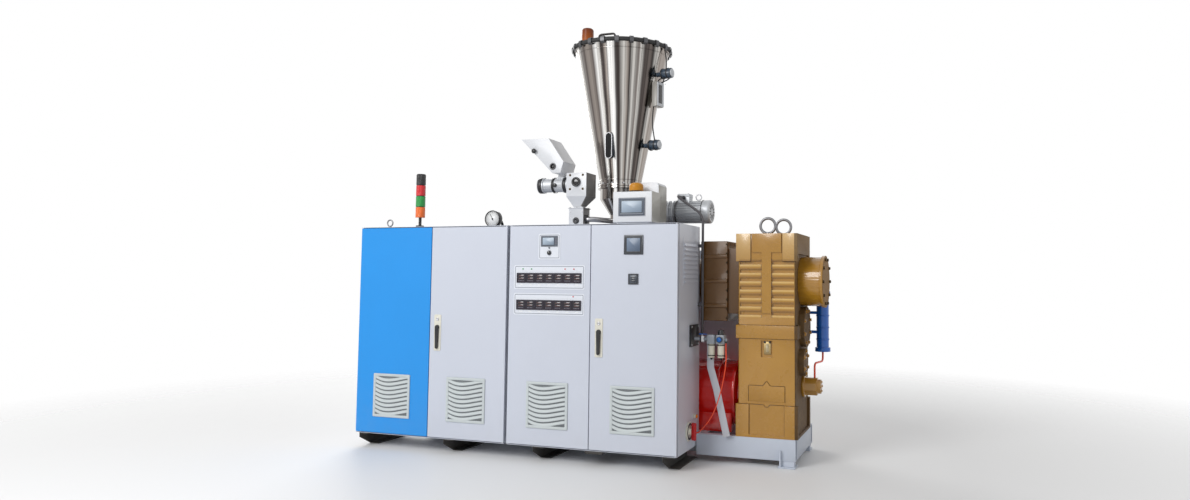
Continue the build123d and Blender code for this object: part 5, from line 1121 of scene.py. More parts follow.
# %% Hopper sensors
sensor_angle = math.radians(-13)
outward = np.array([math.cos(sensor_angle), math.sin(sensor_angle), 0])
sideways = np.array([-outward[1], outward[0], 0])
box_z, low_sensor_z, high_sensor_z = foot_z + 0.696, foot_z + 0.312, foot_z + 0.850
fittings = Finish("hopper_fittings_finish", srgb(46, 62, 78), 0.3, Specular_IOR_Level=0.6)
box_zone = fittings.z.between(box_z - 0.097, box_z + 0.097, soft=0.002)
fittings.set("Base Color", fittings.mix(box_zone, srgb(44, 60, 76), srgb(146, 143, 136)))
fittings.set("Roughness", fittings.noise(12.0) * 0.2 + 0.22)
soft_copy("hopper_fittings", fittings.material, 0.004)


def beside_cone(height, lift, shift=0.0):
    """A point on the sensors' side: axis + outward * (cone radius + lift) + sideways * shift."""
    return hopper_middle + outward * (cone_radius(height) + lift) + sideways * shift + (0, 0, height)


box_base, head_length = 0.046, 0.088
head_foot, head_end = box_base + 0.004, box_base + head_length + 0.004
sensor_heights = (low_sensor_z, high_sensor_z)
head_rings = [
    ring_about(beside_cone(height, lift), outward, band(0.0375, 0.0415, 0.005, 0.001))
    for height in sensor_heights for lift in (head_foot + 0.012, head_end - 0.030)
]
add_piece("sensor_rings", joined(head_rings), black_plastic, "sensor_dark")
cap_profile = [(0.030, 0), (0.030, 0.004), (0.024, 0.007)]
head_caps = [turned_on(beside_cone(height, head_end), outward, cap_profile) for height in sensor_heights]
add_piece("sensor_caps", joined(head_caps), silver_paint, "sensor_dark")
box_face = 0.095 * cone_slope + 0.0003 + box_base
lid_thickness = 0.008
box_turn = np.column_stack([sideways, (0, 0, 1.0), outward])
lid_face = box_face + lid_thickness
for name, low, high, edge, lift, material in (
    ("terminal_box_lid", (-0.043, -0.093, 0), (0.043, 0.093, lid_thickness), 0.003, box_face, silver_paint),
    ("terminal_box_strip", (-0.028, -0.070, 0), (0.012, 0.070, 0.0035), 0.001, lid_face, window_glass),
):
    on_box_face = placed(slab(low, high, edge), [beside_cone(box_z, lift)], [box_turn])
    add_piece(name, on_box_face, material, "sensor_dark", flat=True)
box_screws = [beside_cone(box_z + a * 0.083, lid_face, b * 0.034) for a in both_ways for b in both_ways]
add_bolts("terminal_box_screws", box_screws, outward, hexagon_bolt(0.004, 0.002), bright_steel, "sensor_dark")


def hanging_loop(start, end, out, count=20):
    """A cable from start to end that bows outwards: straight line + out * sin(pi * share)."""
    share = np.linspace(0, 1, count)[:, None]
    path = start + (end - start) * share + out * np.sin(np.pi * share)
    return along_path(path, circle(0.0045, 10))


box_top, box_foot = box_z + 0.094, box_z - 0.094
cable_ends = [
    ((high_sensor_z - 0.034, 0.100), (box_top, 0.040, -0.020), sideways * -0.030),
    ((high_sensor_z - 0.030, 0.120, 0.010), (box_top, 0.045, 0.015), outward * 0.020),
    ((low_sensor_z + 0.034, 0.090), (box_foot, 0.035, -0.015), sideways * -0.022),
    ((rim_z - 0.030, 0.014, 0.030), (box_z + 0.060, 0.028, 0.052), outward * 0.030),
]
loops = [hanging_loop(beside_cone(*start), beside_cone(*end), out) for start, end, out in cable_ends]
add_piece("sensor_cables", joined(loops), black_rubber, "sensor_dark")
print("cable loops", len(loops))

# %% [markdown]
# The sight glass on the hopper's front is a long oval window. Its ring and its smoked pane lie
# upright in front of the leaning sheet, clear of it at their foot.

# %% Sight glass
smoked_glass = Finish("smoked_glass", srgb(14, 13, 15), 0.4, Specular_IOR_Level=0.3).material
sight_half = 0.1
sight_middle = (hopper_axis[0], foot_z + 0.195 + sight_half)
sight_y = hopper_axis[1] - cone_radius(sight_middle[1]) - sight_half * cone_slope - 0.0003
sight_steps = [(0.0, 0.0130), (0.0, 0.0165), (0.001, 0.0175),
               (0.004, 0.0175), (0.005, 0.0165), (0.005, 0.0130)]
sight_ring = frame_ring(sight_middle, (0.028, sight_half), 0.0278, sight_steps, sight_y)
add_piece("sight_glass_ring", sight_ring, bright_steel, "stainless")
sight_pane = plate(sight_middle, (0.0235, 0.0955), 0.0234, 0.0130, 0.0150, sight_y)
add_piece("sight_glass_pane", sight_pane, smoked_glass, "stainless")
print("sight glass at", round(sight_middle[1], 3))

# %% [markdown]
# The gearbox is a casting in two halves, bolted at the band. Its cast ribs get painted light on
# top and painted shade below and in their slots, so the finish repeats with their pitch along
# the height: the share of a step picks the slot, the lit edge and the shaded edge. The top corner
# blocks get a painted highlight, and the right side is painted dark, as shade, and dull.

# %% Paint of the gearbox casing
case_low, case_high = box_of("gearbox_casing")
case_front, case_rear, case_top, pad_depth = case_low[1], case_high[1], case_high[2], 0.010
gear_axis_y, gear_axis_z = 0.13125, 1.262
core_left, core_right, casing_left, casing_right = 1.1405, 1.5415, 1.1245, 1.5575
case_middle = (casing_left + casing_right) / 2
band_low, band_high = 0.866, 0.957
slot_z, slot_pitch, slot_half = 1.040, 0.0585, 0.012
column_half, slot_reach = 0.0335, 0.1915
casing = enamel("casing_paint", gold, 0.28, coat=0.6, peel=0.0003)
cloud, fine_cloud = casing.noise(3.0, detail=5.0), casing.noise(26.0, detail=4.0)
rib_steps = (casing.z - slot_z) / slot_pitch + 0.5
rib_share = rib_steps.maths("FRACT", rib_steps)
from_middle = abs(casing.x - case_middle)
beside_column = from_middle.between(column_half, slot_reach, soft=0.001)
rib_field = beside_column * casing.z.between(slot_z - 0.03, slot_z + 6 * slot_pitch + 0.024, soft=0.002)
on_ribs = rib_field * (casing.y < case_front + 0.014)
in_slot = rib_share.between(0.5 - slot_half / slot_pitch, 0.5 + slot_half / slot_pitch, soft=0.02)
# Painted light on the top edge of each rib, painted shade on its lower edge.
lit_edge = on_ribs * rib_share.between(0.06, 0.29, soft=0.12)
shaded_edge = on_ribs * rib_share.between(0.71, 0.88, soft=0.10)
beside_groove = from_middle.between(column_half - 0.001, column_half + 0.007, soft=0.004) * (1.0 - in_slot)
# Painted shade: the slots between the ribs and the groove beside the column are darkened.
slot_and_groove_shade = on_ribs * in_slot * 0.75 + beside_groove * on_ribs * 0.6
# Painted highlight: the top corner blocks grow lighter towards their top.
lit_corner_block = (from_middle > 0.110) * (casing.z > 1.400) * (casing.y < case_front + 0.004)
on_right_side = casing.x > core_right - 0.006
tone = casing.mix(cloud, srgb(158, 110, 26), srgb(190, 140, 42))
tone = casing.mix(lit_corner_block * casing.z.ramp(1.34, 1.60) * 0.5, tone, srgb(240, 208, 150))
tone = casing.mix(lit_edge * 0.6, tone, srgb(232, 196, 120))
tone = casing.mix(shaded_edge * 0.5, tone, srgb(118, 78, 20))
tone = casing.mix(slot_and_groove_shade, tone, srgb(76, 48, 14))
# Painted shade: the right side is dark brown, darkest low down.
side_shade_brown = casing.mix(casing.z.ramp(1.00, 1.55), srgb(34, 20, 8), srgb(104, 84, 58))
casing.set("Base Color", casing.mix(on_right_side * (fine_cloud * 0.3 + 0.68), tone, side_shade_brown))
casing.set("Roughness", (cloud - 0.5) * 0.14 + fine_cloud * 0.08 + on_right_side * 0.4 + 0.24)
casing.set("Coat Weight", 0.6 - on_right_side * 0.6)
soft_copy("gearbox_casing", casing.material, 0.0045)
print("rib pitch", slot_pitch)

# %% [markdown]
# Hexagon heads stand on the casing's band, on the flange of the distribution box, on the two
# bearing caps and round the pump. The round cover at the end has its own ring of heads. Its
# face gets painted shade like the casing's side, so the place along X picks a darker, duller tone.

# %% Cover and bolts of the gearbox
oxide_bolt = machined("oxide_bolt", srgb(74, 62, 46))
band_bolts = [
    (x, y, band_high) for x in (casing_left + 0.008, casing_right - 0.008)
    for y in np.linspace(case_front + 0.05, case_rear - 0.05, 5)
]
add_bolts("band_bolts", band_bolts, upwards, hexagon_bolt(0.0068, 0.007), oxide_bolt, "gear_gold")
flange_x, flange_half_y, flange_half_z = box_of("distribution_box")[1][0] - 0.095, 0.192, 0.262
flange_rises = np.linspace(-flange_half_z, flange_half_z, 9)
flange_places = [(side * flange_half_y, rise) for side in both_ways for rise in flange_rises]
flange_places += [(across, side * flange_half_z) for side in both_ways for across in (-0.115, 0, 0.115)]
flange_bolts = [(flange_x, gear_axis_y + across, gear_axis_z + rise) for across, rise in flange_places]
add_bolts("flange_bolts", flange_bolts, leftwards, large_bolt, oxide_bolt, "gear_gold")
cap_x, pump_x = core_right + 0.040, box_of("oil_pump")[1][0]
cap_bolts = joined([
    bolt_circle((cap_x, gear_axis_y, gear_axis_z - 0.322), rightwards, 0.120, 8, large_bolt, start=22),
    bolt_circle((cap_x, gear_axis_y - 0.062, 0.696), rightwards, 0.078, 6, large_bolt, start=30),
    bolt_circle((pump_x, 0.17125, 0.518), rightwards, 0.036, 6, small_bolt),
])
add_piece("cap_bolts", cap_bolts, gear_paint, "gear_gold", flat=True)
cover_right = box_of("gearbox_cover")[1][0]
cover = enamel("cover_paint", gold, 0.26, coat=0.6, peel=0.0003)
cover_cloud = cover.noise(8.0, detail=5.0)
on_end = cover.x > cover_right - 0.014
cover_gold = cover.mix(cover_cloud, srgb(160, 112, 28), srgb(188, 138, 42))
# Painted shade: the end face is darker, and dull.
cover.set("Base Color", cover.mix(on_end * 0.75, cover_gold, srgb(98, 68, 24)))
cover.set("Roughness", on_end * 0.45 + cover_cloud * 0.1 + 0.2)
cover.set("Coat Weight", 0.6 - on_end * 0.6)
soft_copy("gearbox_cover", cover.material, 0.003)
cover_middle = (cover_right - 0.0125, gear_axis_y, gear_axis_z)
cover_heads = bolt_circle(cover_middle, rightwards, 0.162, 10, hexagon_bolt(0.0118, 0.0124))
add_piece("cover_bolt_heads", cover_heads, oxide_bolt, "gear_gold", flat=True)
print("bolts on band and flange", len(band_bolts) + len(flange_bolts))

# %% [markdown]
# A thin dark bead runs along each corner where a raised field meets the casing's wall. Every
# bead is a route of (x, z) corners on the front or the rear wall, and most routes have a twin
# on the other side of the middle.

# %% Dark corner lines of the gearbox
corner_line_paint = Finish("corner_line_paint", srgb(84, 52, 14), 0.5).material
house_half, house_foot, house_eaves, house_ridge = 0.1275, 0.435, 0.544, 0.577
sill_z, sill_dip, foot_block_top, foot_block_low = 0.415, 0.398, 0.4145, 0.210
core_half, top_block_foot = (core_right - core_left) / 2, case_top - 0.1955
foot_inner, corner_inner = case_middle - (casing_left + 0.0935), case_middle - (casing_left + 0.1055)
house = [(house_half, house_foot), (house_half, house_eaves), (0.027, house_eaves)]
sill = [(core_half - 0.078, sill_z), (0.022, sill_z), (0.010, sill_dip)]
foot_block = [(core_half, foot_block_top), (foot_inner, foot_block_top), (foot_inner, foot_block_low)]
top_block = [(corner_inner, case_top - 0.004), (corner_inner, top_block_foot), (core_half, top_block_foot)]
routes = [
    [(-across, z) for across, z in house] + [(0, house_ridge)] + house[::-1],
    [(-across, z) for across, z in sill] + sill[::-1],
]
for side in both_ways:
    routes += [[(side * across, z) for across, z in block] for block in (foot_block, top_block)]
routes += [[(-core_half, z), (core_half, z)] for z in (band_low - 0.0012, band_high + 0.0012)]
beads = []
for face_y, way in ((case_front, -1), (case_rear, 1)):
    seam_y = face_y - way * (pad_depth - 0.0012)
    for route in routes:
        corners = [(case_middle + across, seam_y, z) for across, z in route]
        beads.append(along_path(rounded_route(corners, 0.006), circle(0.0017, 8)))
add_piece("casing_corner_lines", joined(beads), corner_line_paint, "gear_gold")
print("joint beads", len(beads))

# %% [markdown]
# In the upright slot below the band sits the oil level glass: a brass body with a clear tube
# and two dark plugs. On top, each lifting eye has a threaded collar with a nut. The oil cooler
# has four bands, and a filler with a ring of bolts on its top.

# %% Oil level glass, eye collars and oil cooler
pocket_top, level_x = band_low - 0.014, case_middle + 0.004
glass_y, level_middle = case_front + pad_depth + 0.014, (level_x, pocket_top - 0.050)
brass = machined("brass", srgb(178, 156, 112))
clear_tube = Finish("level_tube", srgb(186, 170, 134), 0.3).material
level_body = plate(level_middle, (0.024, 0.044), 0.004, -0.0005, 0.0085, glass_y)
level_tube = plate(level_middle, (0.010, 0.030), 0.0095, 0.0080, 0.0130, glass_y)
add_piece("level_glass_body", level_body, brass, "gear_gold")
add_piece("level_glass_tube", level_tube, clear_tube, "gear_gold")
plugs = [(level_x + side * 0.018, glass_y - 0.006, pocket_top - 0.010) for side in both_ways]
add_bolts("level_glass_plugs", plugs, frontwards, hexagon_bolt(0.0075, 0.010), black_plastic, "gear_gold")
collar = turned_profile([(0.031, 0), (0.031, 0.007), (0.026, 0.010)])
eye_collars = placed(collar, [(1.3135, 0.04925, case_top), (1.3955, 0.21325, case_top)])
add_piece("eye_collars", eye_collars, dark_steel, "eye_steel")
cooler_low, cooler_high = box_of("oil_cooler")
cooler_x, cooler_y = 1.6575, 0.34925
cooler_top = (cooler_x, cooler_y, cooler_high[2])
filler_profile = [(0.026, 0), (0.026, 0.014), (0.020, 0.018), (0.020, 0.034), (0.015, 0.038)]
cooler_parts = [
    ring_about((cooler_x, cooler_y, z), upwards, band(0.0445, 0.0485, 0.005, 0.001))
    for z in np.linspace(cooler_low[2] + 0.09, cooler_high[2] - 0.09, 4)
]
cooler_parts.append(bolt_circle(cooler_top, upwards, 0.045, 8, hexagon_bolt(0.0055, 0.005)))
cooler_parts.append(turned_on(cooler_top, upwards, filler_profile))
add_piece("cooler_bands", joined(cooler_parts), cooler_paint, "cooler_blue")
print("parts on the cooler", len(cooler_parts))

# %% [markdown]
# The feeder's gear motor has a fan cowl with slots, a lifting eye, a terminal box with a lid and
# a dark joint between the gear and the motor. The terminal box feeds the conduit.

# %% Feeder motor fittings
motor_high = box_of("feeder_gearmotor")[1]
gear_end, cowl_left, cowl_right = 0.6045, 0.8095, motor_high[0]
joint_rings = [
    ring_about(feed_axis + (gear_end + 0.0005, 0, 0), rightwards, band(0.080, 0.0925, 0.0045)),
    ring_about(feed_axis + (cowl_left - 0.002, 0, 0), rightwards, band(0.082, 0.0900, 0.003)),
]
add_piece("feeder_motor_joints", joined(joint_rings), dark_steel, "feeder_motor_grey")
gear_bands = [
    ring_about(feed_axis + (x, 0, 0), rightwards, band(0.0835, 0.0895, 0.006, 0.001))
    for x in (0.508, 0.545, 0.582)
]
add_piece("feeder_gear_bands", joined(gear_bands), silver_paint, "feeder_motor_grey")
slot_count = 14
slot_turns = [
    np.column_stack([(0, math.cos(a), math.sin(a)), (0, -math.sin(a), math.cos(a)), rightwards])
    for a in 2 * np.pi * np.arange(slot_count) / slot_count
]
cowl_slot = slab((0.026, -0.0045, -0.0012), (0.066, 0.0045, 0.0006), 0.0005)
cowl_slots = placed(cowl_slot, [feed_axis + (cowl_right, 0, 0)] * slot_count, slot_turns)
add_piece("cowl_slots", cowl_slots, black_rubber, "feeder_motor_grey", flat=True)
eye_x, eye_foot, eye_middle, eye_radius = 0.768, 0.078, 0.111, 0.021
eye_path = [
    feed_axis + (eye_x + eye_radius * math.cos(a), 0, eye_middle + eye_radius * math.sin(a))
    for a in np.linspace(-np.pi / 2, 1.5 * np.pi, 33)
]
eye_shank = turned_on(feed_axis + (eye_x, 0, eye_foot), upwards, [(0.011, 0), (0.011, 0.012)], 16)
motor_eye = joined([along_path(eye_path, circle(0.0048, 10)), eye_shank])
add_piece("feeder_motor_eye", motor_eye, bright_steel, "feeder_motor_grey")
lid_middle = np.array([0.6605, feed_axis[1], motor_high[2]])
motor_lid = slab(lid_middle - (0.048, 0.044, 0.022), lid_middle + (0.048, 0.044, 0.003), 0.003)
add_piece("feeder_motor_lid", motor_lid, silver_paint, "feeder_motor_grey", flat=True)
lid_screws = [lid_middle + (a * 0.036, b * 0.032, 0.003) for a in both_ways for b in both_ways]
lid_screw = hexagon_bolt(0.0045, 0.003)
add_bolts("feeder_lid_screws", lid_screws, upwards, lid_screw, bright_steel, "feeder_motor_grey")
gland_profile = [(0.0165, -0.001), (0.0165, 0.010), (0.0135, 0.012), (0.0135, 0.020), (0.0115, 0.024)]
add_turned("conduit_gland", lid_middle - (0, 0.042, 0.026), frontwards, gland_profile, black_plastic,
           "conduit_black", sides=6, flat=True)
print("slots in the cowl", slot_count)

# %% [markdown]
# The doser is a small cast body on a stand. Its right side is greyer, as painted shade and partly
# a greyer surface of its own, like the feeder box's. It runs straight down to a shoulder, tapers
# to the stand, and goes on down it, so the zone moves to the left with the taper.

# %% Paint of the doser
doser_left, doser_y, half_body, port_z = box_of("doser_body")[0][0], -0.16575, 0.163 / 2, 1.985
body_x = float(doser_left) + half_body
stand_x = -0.0765
shoulder_z, taper_foot_z = port_z - 0.105, 1.808
body_right, taper_foot_x, stand_right = body_x + half_body, stand_x + 0.055 / 2, -0.0175
doser_paint = enamel("doser_paint", white)
taper = (body_right - taper_foot_x) / (shoulder_z - taper_foot_z)
straightened_x = doser_paint.x + (shoulder_z - doser_paint.z).above_zero() * taper
# Painted shade, and partly a greyer finish: the right side of the body and of the stand.
body_side = (straightened_x > body_right - side_depth) * (doser_paint.z > taper_foot_z)
stand_side = (doser_paint.x > stand_right - side_depth) * (doser_paint.z < taper_foot_z)
doser_shade_greys = (srgb(96, 93, 91), srgb(132, 129, 127))
soft_copy("doser_body", shade_sided_enamel(doser_paint, body_side + stand_side, 6.0, doser_shade_greys, 0.2, 0.1), 0.0015)
print("taper", round(taper, 3))

# %% [markdown]
# In front the doser has a round port with four bolts, and below it a clamp flange and a stand
# with an outlet. Its motor has dark end caps and a speed knob. The scoop has a sight glass low
# on the front and a knob for its slide at the left.

# %% Doser fittings
body_front, stand_front, stand_top = doser_y - 0.085, doser_y - 0.055, 1.796
port_middle = (body_x, body_front - 0.008, port_z)
port_profile = [(0.0355, -0.002), (0.0355, 0.003), (0.033, 0.006), (0.021, 0.006), (0.021, -0.002)]
port_lens = [(0.0215, -0.001), (0.0215, 0.0035), (0.017, 0.0045)]
add_piece("doser_port_ring", ring_about(port_middle, frontwards, port_profile), black_plastic, "box_white")
add_turned("doser_port_lens", port_middle, frontwards, port_lens, window_glass, "box_white")
port_bolts = [(body_x + a * 0.052, body_front, port_z + b * 0.052) for a in both_ways for b in both_ways]
add_bolts("doser_port_bolts", port_bolts, frontwards, small_bolt, oxide_bolt, "box_white")
clamp_bolts = [(stand_x + a * 0.052, doser_y + b * 0.048, stand_top) for a in (-1, 0, 1) for b in both_ways]
stand_bolts = [(stand_x + a * 0.048, stand_front, 1.668 + rise) for a in both_ways for rise in (0, 0.096)]
stand_heads = bolts_at(stand_bolts, frontwards, hexagon_bolt(0.0055, 0.004))
doser_bolts = joined([bolts_at(clamp_bolts, upwards, small_bolt), stand_heads])
add_piece("doser_bolts", doser_bolts, bright_steel, "box_white", flat=True)
outlet_profile = [(0.024, -0.001), (0.024, 0.006), (0.019, 0.008),
                  (0.019, 0.012), (0.0135, 0.012), (0.0125, 0.006)]
add_turned("doser_outlet", (stand_x, stand_front, 1.700), frontwards, outlet_profile, dark_steel,
           "box_white", sides=28)
pipe_flange = [(0.032, 0), (0.032, 0.007), (0.026, 0.009)]
add_turned("doser_pipe_flange", (stand_x + 0.059, doser_y, 1.712), rightwards, pipe_flange, dark_steel,
           "pipe_dark")
motor_z, motor_left, motor_right = 1.974, doser_left - 0.262, doser_left
motor_bands = [
    ring_about((x + width / 2, doser_y, motor_z), rightwards, band(0.0575, 0.0595, width / 2, 0.002))
    for x, width in ((motor_left + 0.003, 0.034), (motor_right - 0.052, 0.030), (motor_left + 0.118, 0.018))
]
add_piece("doser_motor_bands", joined(motor_bands), black_plastic, "doser_motor_steel")
end_profile = [(0.050, 0), (0.050, 0.003), (0.036, 0.005), (0.012, 0.005), (0.010, 0.002)]
add_turned("doser_motor_face", (motor_left + 0.0005, doser_y, motor_z), leftwards, end_profile, black_rubber,
           "doser_motor_steel")
speed_knob = [(0.015, -0.003), (0.015, 0.006), (0.013, 0.012), (0.011, 0.013)]
add_turned("doser_speed_knob", (motor_left + 0.150, doser_y - 0.052, motor_z - 0.004), frontwards, speed_knob,
           black_plastic, "doser_motor_steel", sides=20)
scoop_front = box_of("doser_hopper")[0][1]
sight_middle, slide_middle = (-0.252, scoop_front, 2.106), (-0.405, scoop_front, 2.226)
sight_profile = [(0.026, 0), (0.026, 0.003), (0.024, 0.005), (0.017, 0.005), (0.017, 0)]
sight_disc = [(0.0175, -0.0005), (0.0175, 0.0025)]
slide_knob = [(0.008, 0), (0.008, 0.010), (0.017, 0.013), (0.0185, 0.020), (0.015, 0.025)]
add_piece("scoop_sight_ring", ring_about(sight_middle, frontwards, sight_profile), dark_steel, "box_white")
add_turned("scoop_sight_disc", sight_middle, frontwards, sight_disc, window_glass, "box_white")
add_turned("scoop_slide_knob", slide_middle, frontwards, slide_knob, black_plastic, "box_white")
print("doser bolts", len(clamp_bolts) + len(port_bolts))

# %% [markdown]
# The air unit hangs on a black plate. A shut-off filter and a regulator each carry a pale bowl
# with metal guard rings. The regulator has a black knob and a small gauge with a blue face.
# They are one solid, so places on it pick the colour of plate, bowl, knob and body.

# %% Air unit
air_y, air_z, filter_x, regulator_x, valve_x = -0.20575, 0.858, 0.9685, 1.0365, 0.900
plate_right, half_body_z, body_grey = 0.8468, 0.0302, srgb(150, 156, 164)
air = Finish("air_unit_finish", body_grey, 0.32)
off_plate = air.x > 0.90
in_bowl = air.z.between(0.70, air_z - half_body_z, soft=0.001) * off_plate
in_knob = (air.z > air_z + half_body_z) * off_plate
metal_or_bowl = air.mix(in_bowl, body_grey, srgb(226, 220, 202))
with_knob = air.mix(in_knob, metal_or_bowl, srgb(30, 30, 34))
air.set("Base Color", air.mix(air.x < plate_right, with_knob, black))
air.bump(air.noise(500.0), 0.00005)
soft_copy("air_unit", air.material, 0.0015)
guards = [
    ring_about((x, air_y, air_z - drop), upwards, band(0.0225, 0.0265, 0.003), sides=32)
    for x in (filter_x, regulator_x) for drop in (0.040, 0.112)
]
add_piece("bowl_guards", joined(guards), black_plastic, "air_grey")
drain = turned_profile([(0.009, 0), (0.009, 0.008), (0.006, 0.013), (0.003, 0.016)], sides=20)
drain_places = [(x, air_y, air_z - 0.126) for x in (filter_x, regulator_x)]
add_bolts("bowl_drains", drain_places, downwards, drain, black_plastic, "air_grey", flat=False)
gauge_place, dial_place = (regulator_x, air_y - 0.030, air_z), (regulator_x, air_y - 0.0514, air_z)
gauge_profile = [(0.008, 0), (0.008, 0.006), (0.021, 0.008), (0.021, 0.020), (0.0185, 0.0215)]
add_turned("pressure_gauge", gauge_place, frontwards, gauge_profile, black_plastic, "air_grey")
gauge_blue = moulded("gauge_blue", srgb(24, 104, 190), 0.3)
add_turned("pressure_dial", dial_place, frontwards, [(0.0172, 0), (0.0172, 0.0006)], gauge_blue, "air_grey")
small_marks = [dial_mark(225 - 27 * mark, 0.0155, 0.004, 0.0010, 0.0005, 0.0012) for mark in range(11)]
small_marks.append(dial_mark(150, 0.011, 0.014, 0.0014, 0.0008, 0.0014))
add_piece("pressure_marks", placed(joined(small_marks), [dial_place]), window_glass, "air_grey", flat=True)
nut_profile = [(0.017, 0), (0.019, 0.004), (0.019, 0.036), (0.017, 0.040)]
valve = joined([
    turned_on((valve_x, air_y, air_z - 0.020), upwards, nut_profile, sides=6),
    turned_on((valve_x, air_y, air_z + 0.019), upwards, [(0.006, 0), (0.006, 0.014)], sides=16),
])
add_piece("shut_off_valve", valve, bright_steel, "air_grey", flat=True)
valve_handle = slab((0.878, air_y - 0.008, air_z + 0.030), (0.936, air_y + 0.008, air_z + 0.036), 0.002)
add_piece("valve_handle", valve_handle, cooler_paint, "air_grey", flat=True)
plate_bolts = [(0.8465, y, z) for y in (-0.2755, -0.1220) for z in (0.818, 0.942)]
add_bolts("air_plate_bolts", plate_bolts, rightwards, small_bolt, bright_steel, "air_grey")
for name, place, axis, radius, material in (
    ("elbow_nut", (1.0725, air_y, 0.8335), upwards, 0.0105, black_plastic),
    ("tube_nut", (0.8335, -0.19875, 0.205), rightwards, 0.0115, bright_steel),
):
    profile = [(radius, 0), (radius + 0.001, 0.002), (radius + 0.001, 0.010), (radius, 0.012)]
    add_turned(name, place, axis, profile, material, "air_grey", sides=6, flat=True)
print("marks on the small dial", len(small_marks))

# %% [markdown]
# The main switch sits low on the cabinet's side: a grey disc with a dark ring, four screws and
# a red handle that turns. Above it is a small amber pilot lamp.

# %% Main switch and pilot lamp
switch_y, switch_z, switch_face = -0.30075, 0.232, 0.8445
switch_ring = ring_about((switch_face + 0.001, switch_y, switch_z), rightwards, band(0.044, 0.057, 0.001))
add_piece("switch_ring", switch_ring, black_plastic, "switch_pale")
switch_screws = [
    (switch_face, switch_y + a * 0.0445, switch_z + b * 0.0445) for a in both_ways for b in both_ways
]
flat_head = turned_profile([(0.005, 0), (0.005, 0.0015), (0.0035, 0.0025)], 16)
add_bolts("switch_screws", switch_screws, rightwards, flat_head, bright_steel, "switch_pale", flat=False)
lens_amber = Finish("lens_amber", srgb(236, 132, 30), 0.18).material
pilot_profile = [(0.0125, -0.004), (0.0125, 0.0018), (0.009, 0.0042), (0.004, 0.0052)]
add_turned("pilot_lens", (0.8563, -0.17875, 0.316), rightwards, pilot_profile, lens_amber, "switch_pale")
print("switch screws", len(switch_screws))

# %% [markdown]
# The back is worth a look too. Each rear sheet is screwed on round its edge and has rows of
# pressed vent hoods. A hood is a small profile carried along X, and it sinks into the sheet
# where it ends.

# %% Back of the cabinet
backs_low, backs_high = box_of("cabinet_backs")
back_y, sheet_width = backs_high[1], 1.270
back_spans = [(backs_low[0], backs_low[0] + sheet_width), (backs_high[0] - sheet_width, backs_high[0])]
side_heights = np.linspace(backs_low[2] + 0.04, backs_high[2] - 0.04, 7)
end_heights = (backs_low[2] + 0.018, backs_high[2] - 0.018)
back_screws = []
for low_x, high_x in back_spans:
    back_screws += [(x, back_y, z) for x in (low_x + 0.018, high_x - 0.018) for z in side_heights]
    back_screws += [(x, back_y, z) for x in np.linspace(low_x + 0.22, high_x - 0.22, 4) for z in end_heights]
screw_head = turned_profile([(0.0065, 0), (0.0062, 0.0018), (0.0040, 0.0032)], 14)
add_bolts("back_screws", back_screws, rearwards, screw_head, bright_steel, "cabinet_grey", flat=False)
hood_rises = np.array([0.0, 0.0004, 0.0035, 0.0085, 0.0095, 0.0085])
hood_reaches = np.array([0.0, 0.0035, 0.0085, 0.0095, 0.0085, 0.0])


def vent_hood(middle_x, middle_z, steps=11):
    """A pressed hood: a (rise, reach) profile along X whose reach shrinks towards both ends."""
    section = np.stack([hood_rises, np.zeros(len(hood_rises))], axis=1)
    sink = np.clip((1 - np.abs(np.linspace(-1, 1, steps))) * 6, 0.02, 1.0)
    return along_x(section, middle_x, 0.05, steps, back_y - 0.0002 + hood_reaches * sink[:, None], middle_z)


vents = [
    vent_hood((low_x + high_x) / 2 + column * 0.125, base_z + row * 0.022)
    for low_x, high_x in back_spans for base_z in (0.24, 1.32) for row in range(9) for column in (-1, 0, 1)
]
add_piece("back_vents", joined(vents), cabinet_paint, "cabinet_grey")
print("vent hoods", len(vents))

# %% [markdown]
# Behind the cabinets the barrel's heater bands carry a terminal box each, with two porcelain
# posts. The drive motor is a smooth drum with a raised band near each end. The guard's panels
# are screwed to its posts.

# %% Heaters, motor and guard
heater_top = gear_axis_z + 0.165
heater_xs = (-1.10, -0.66, -0.34, -0.06)
heater_box = slab((-0.035, 0.020, -0.006), (0.035, 0.090, 0.034), 0.003)
heater_boxes = placed(heater_box, [(x, gear_axis_y, heater_top) for x in heater_xs])
post = turned_profile([(0.009, 0), (0.009, 0.010), (0.006, 0.012), (0.006, 0.020), (0.003, 0.022)], 14)
post_places = [
    (x + side * 0.018, gear_axis_y + 0.055, heater_top + 0.034) for x in heater_xs for side in both_ways
]
add_piece("heater_boxes", heater_boxes, silver_paint, "heater_aluminium", flat=True)
add_bolts("heater_posts", post_places, upwards, post, dial_white, "heater_aluminium", flat=False)
drive_low, drive_high = box_of("drive_motor")
drive_y, drive_z, drive_radius = 0.21425, 0.442, 0.243
drive_band = band(drive_radius - 0.004, drive_radius + 0.005, 0.012, 0.002)
drive_bands = [
    ring_about((x, drive_y, drive_z), rightwards, drive_band, sides=72)
    for x in (drive_low[0] + 0.170, drive_high[0] - 0.180)
]
add_piece("drive_motor_bands", joined(drive_bands), motor_paint, "motor_red")
guard_low, guard_high = box_of("rear_guard")
guard_bolts = [
    (x, guard_high[1], z) for x in np.linspace(guard_low[0] + 0.03, guard_high[0] - 0.03, 7)
    for z in (guard_low[2] + 0.03, guard_high[2] - 0.03)
]
add_bolts("guard_bolts", guard_bolts, rearwards, screw_head, bright_steel, "frame_grey", flat=False)
print("heater posts", len(post_places), "guard bolts", len(guard_bolts))

# %% [markdown]
# The red air tube hangs from the regulator's elbow to a fitting low on the cabinet. Its real
# length is 0.7 m. It follows the route of its solid, as a smooth spline through the same
# control points.

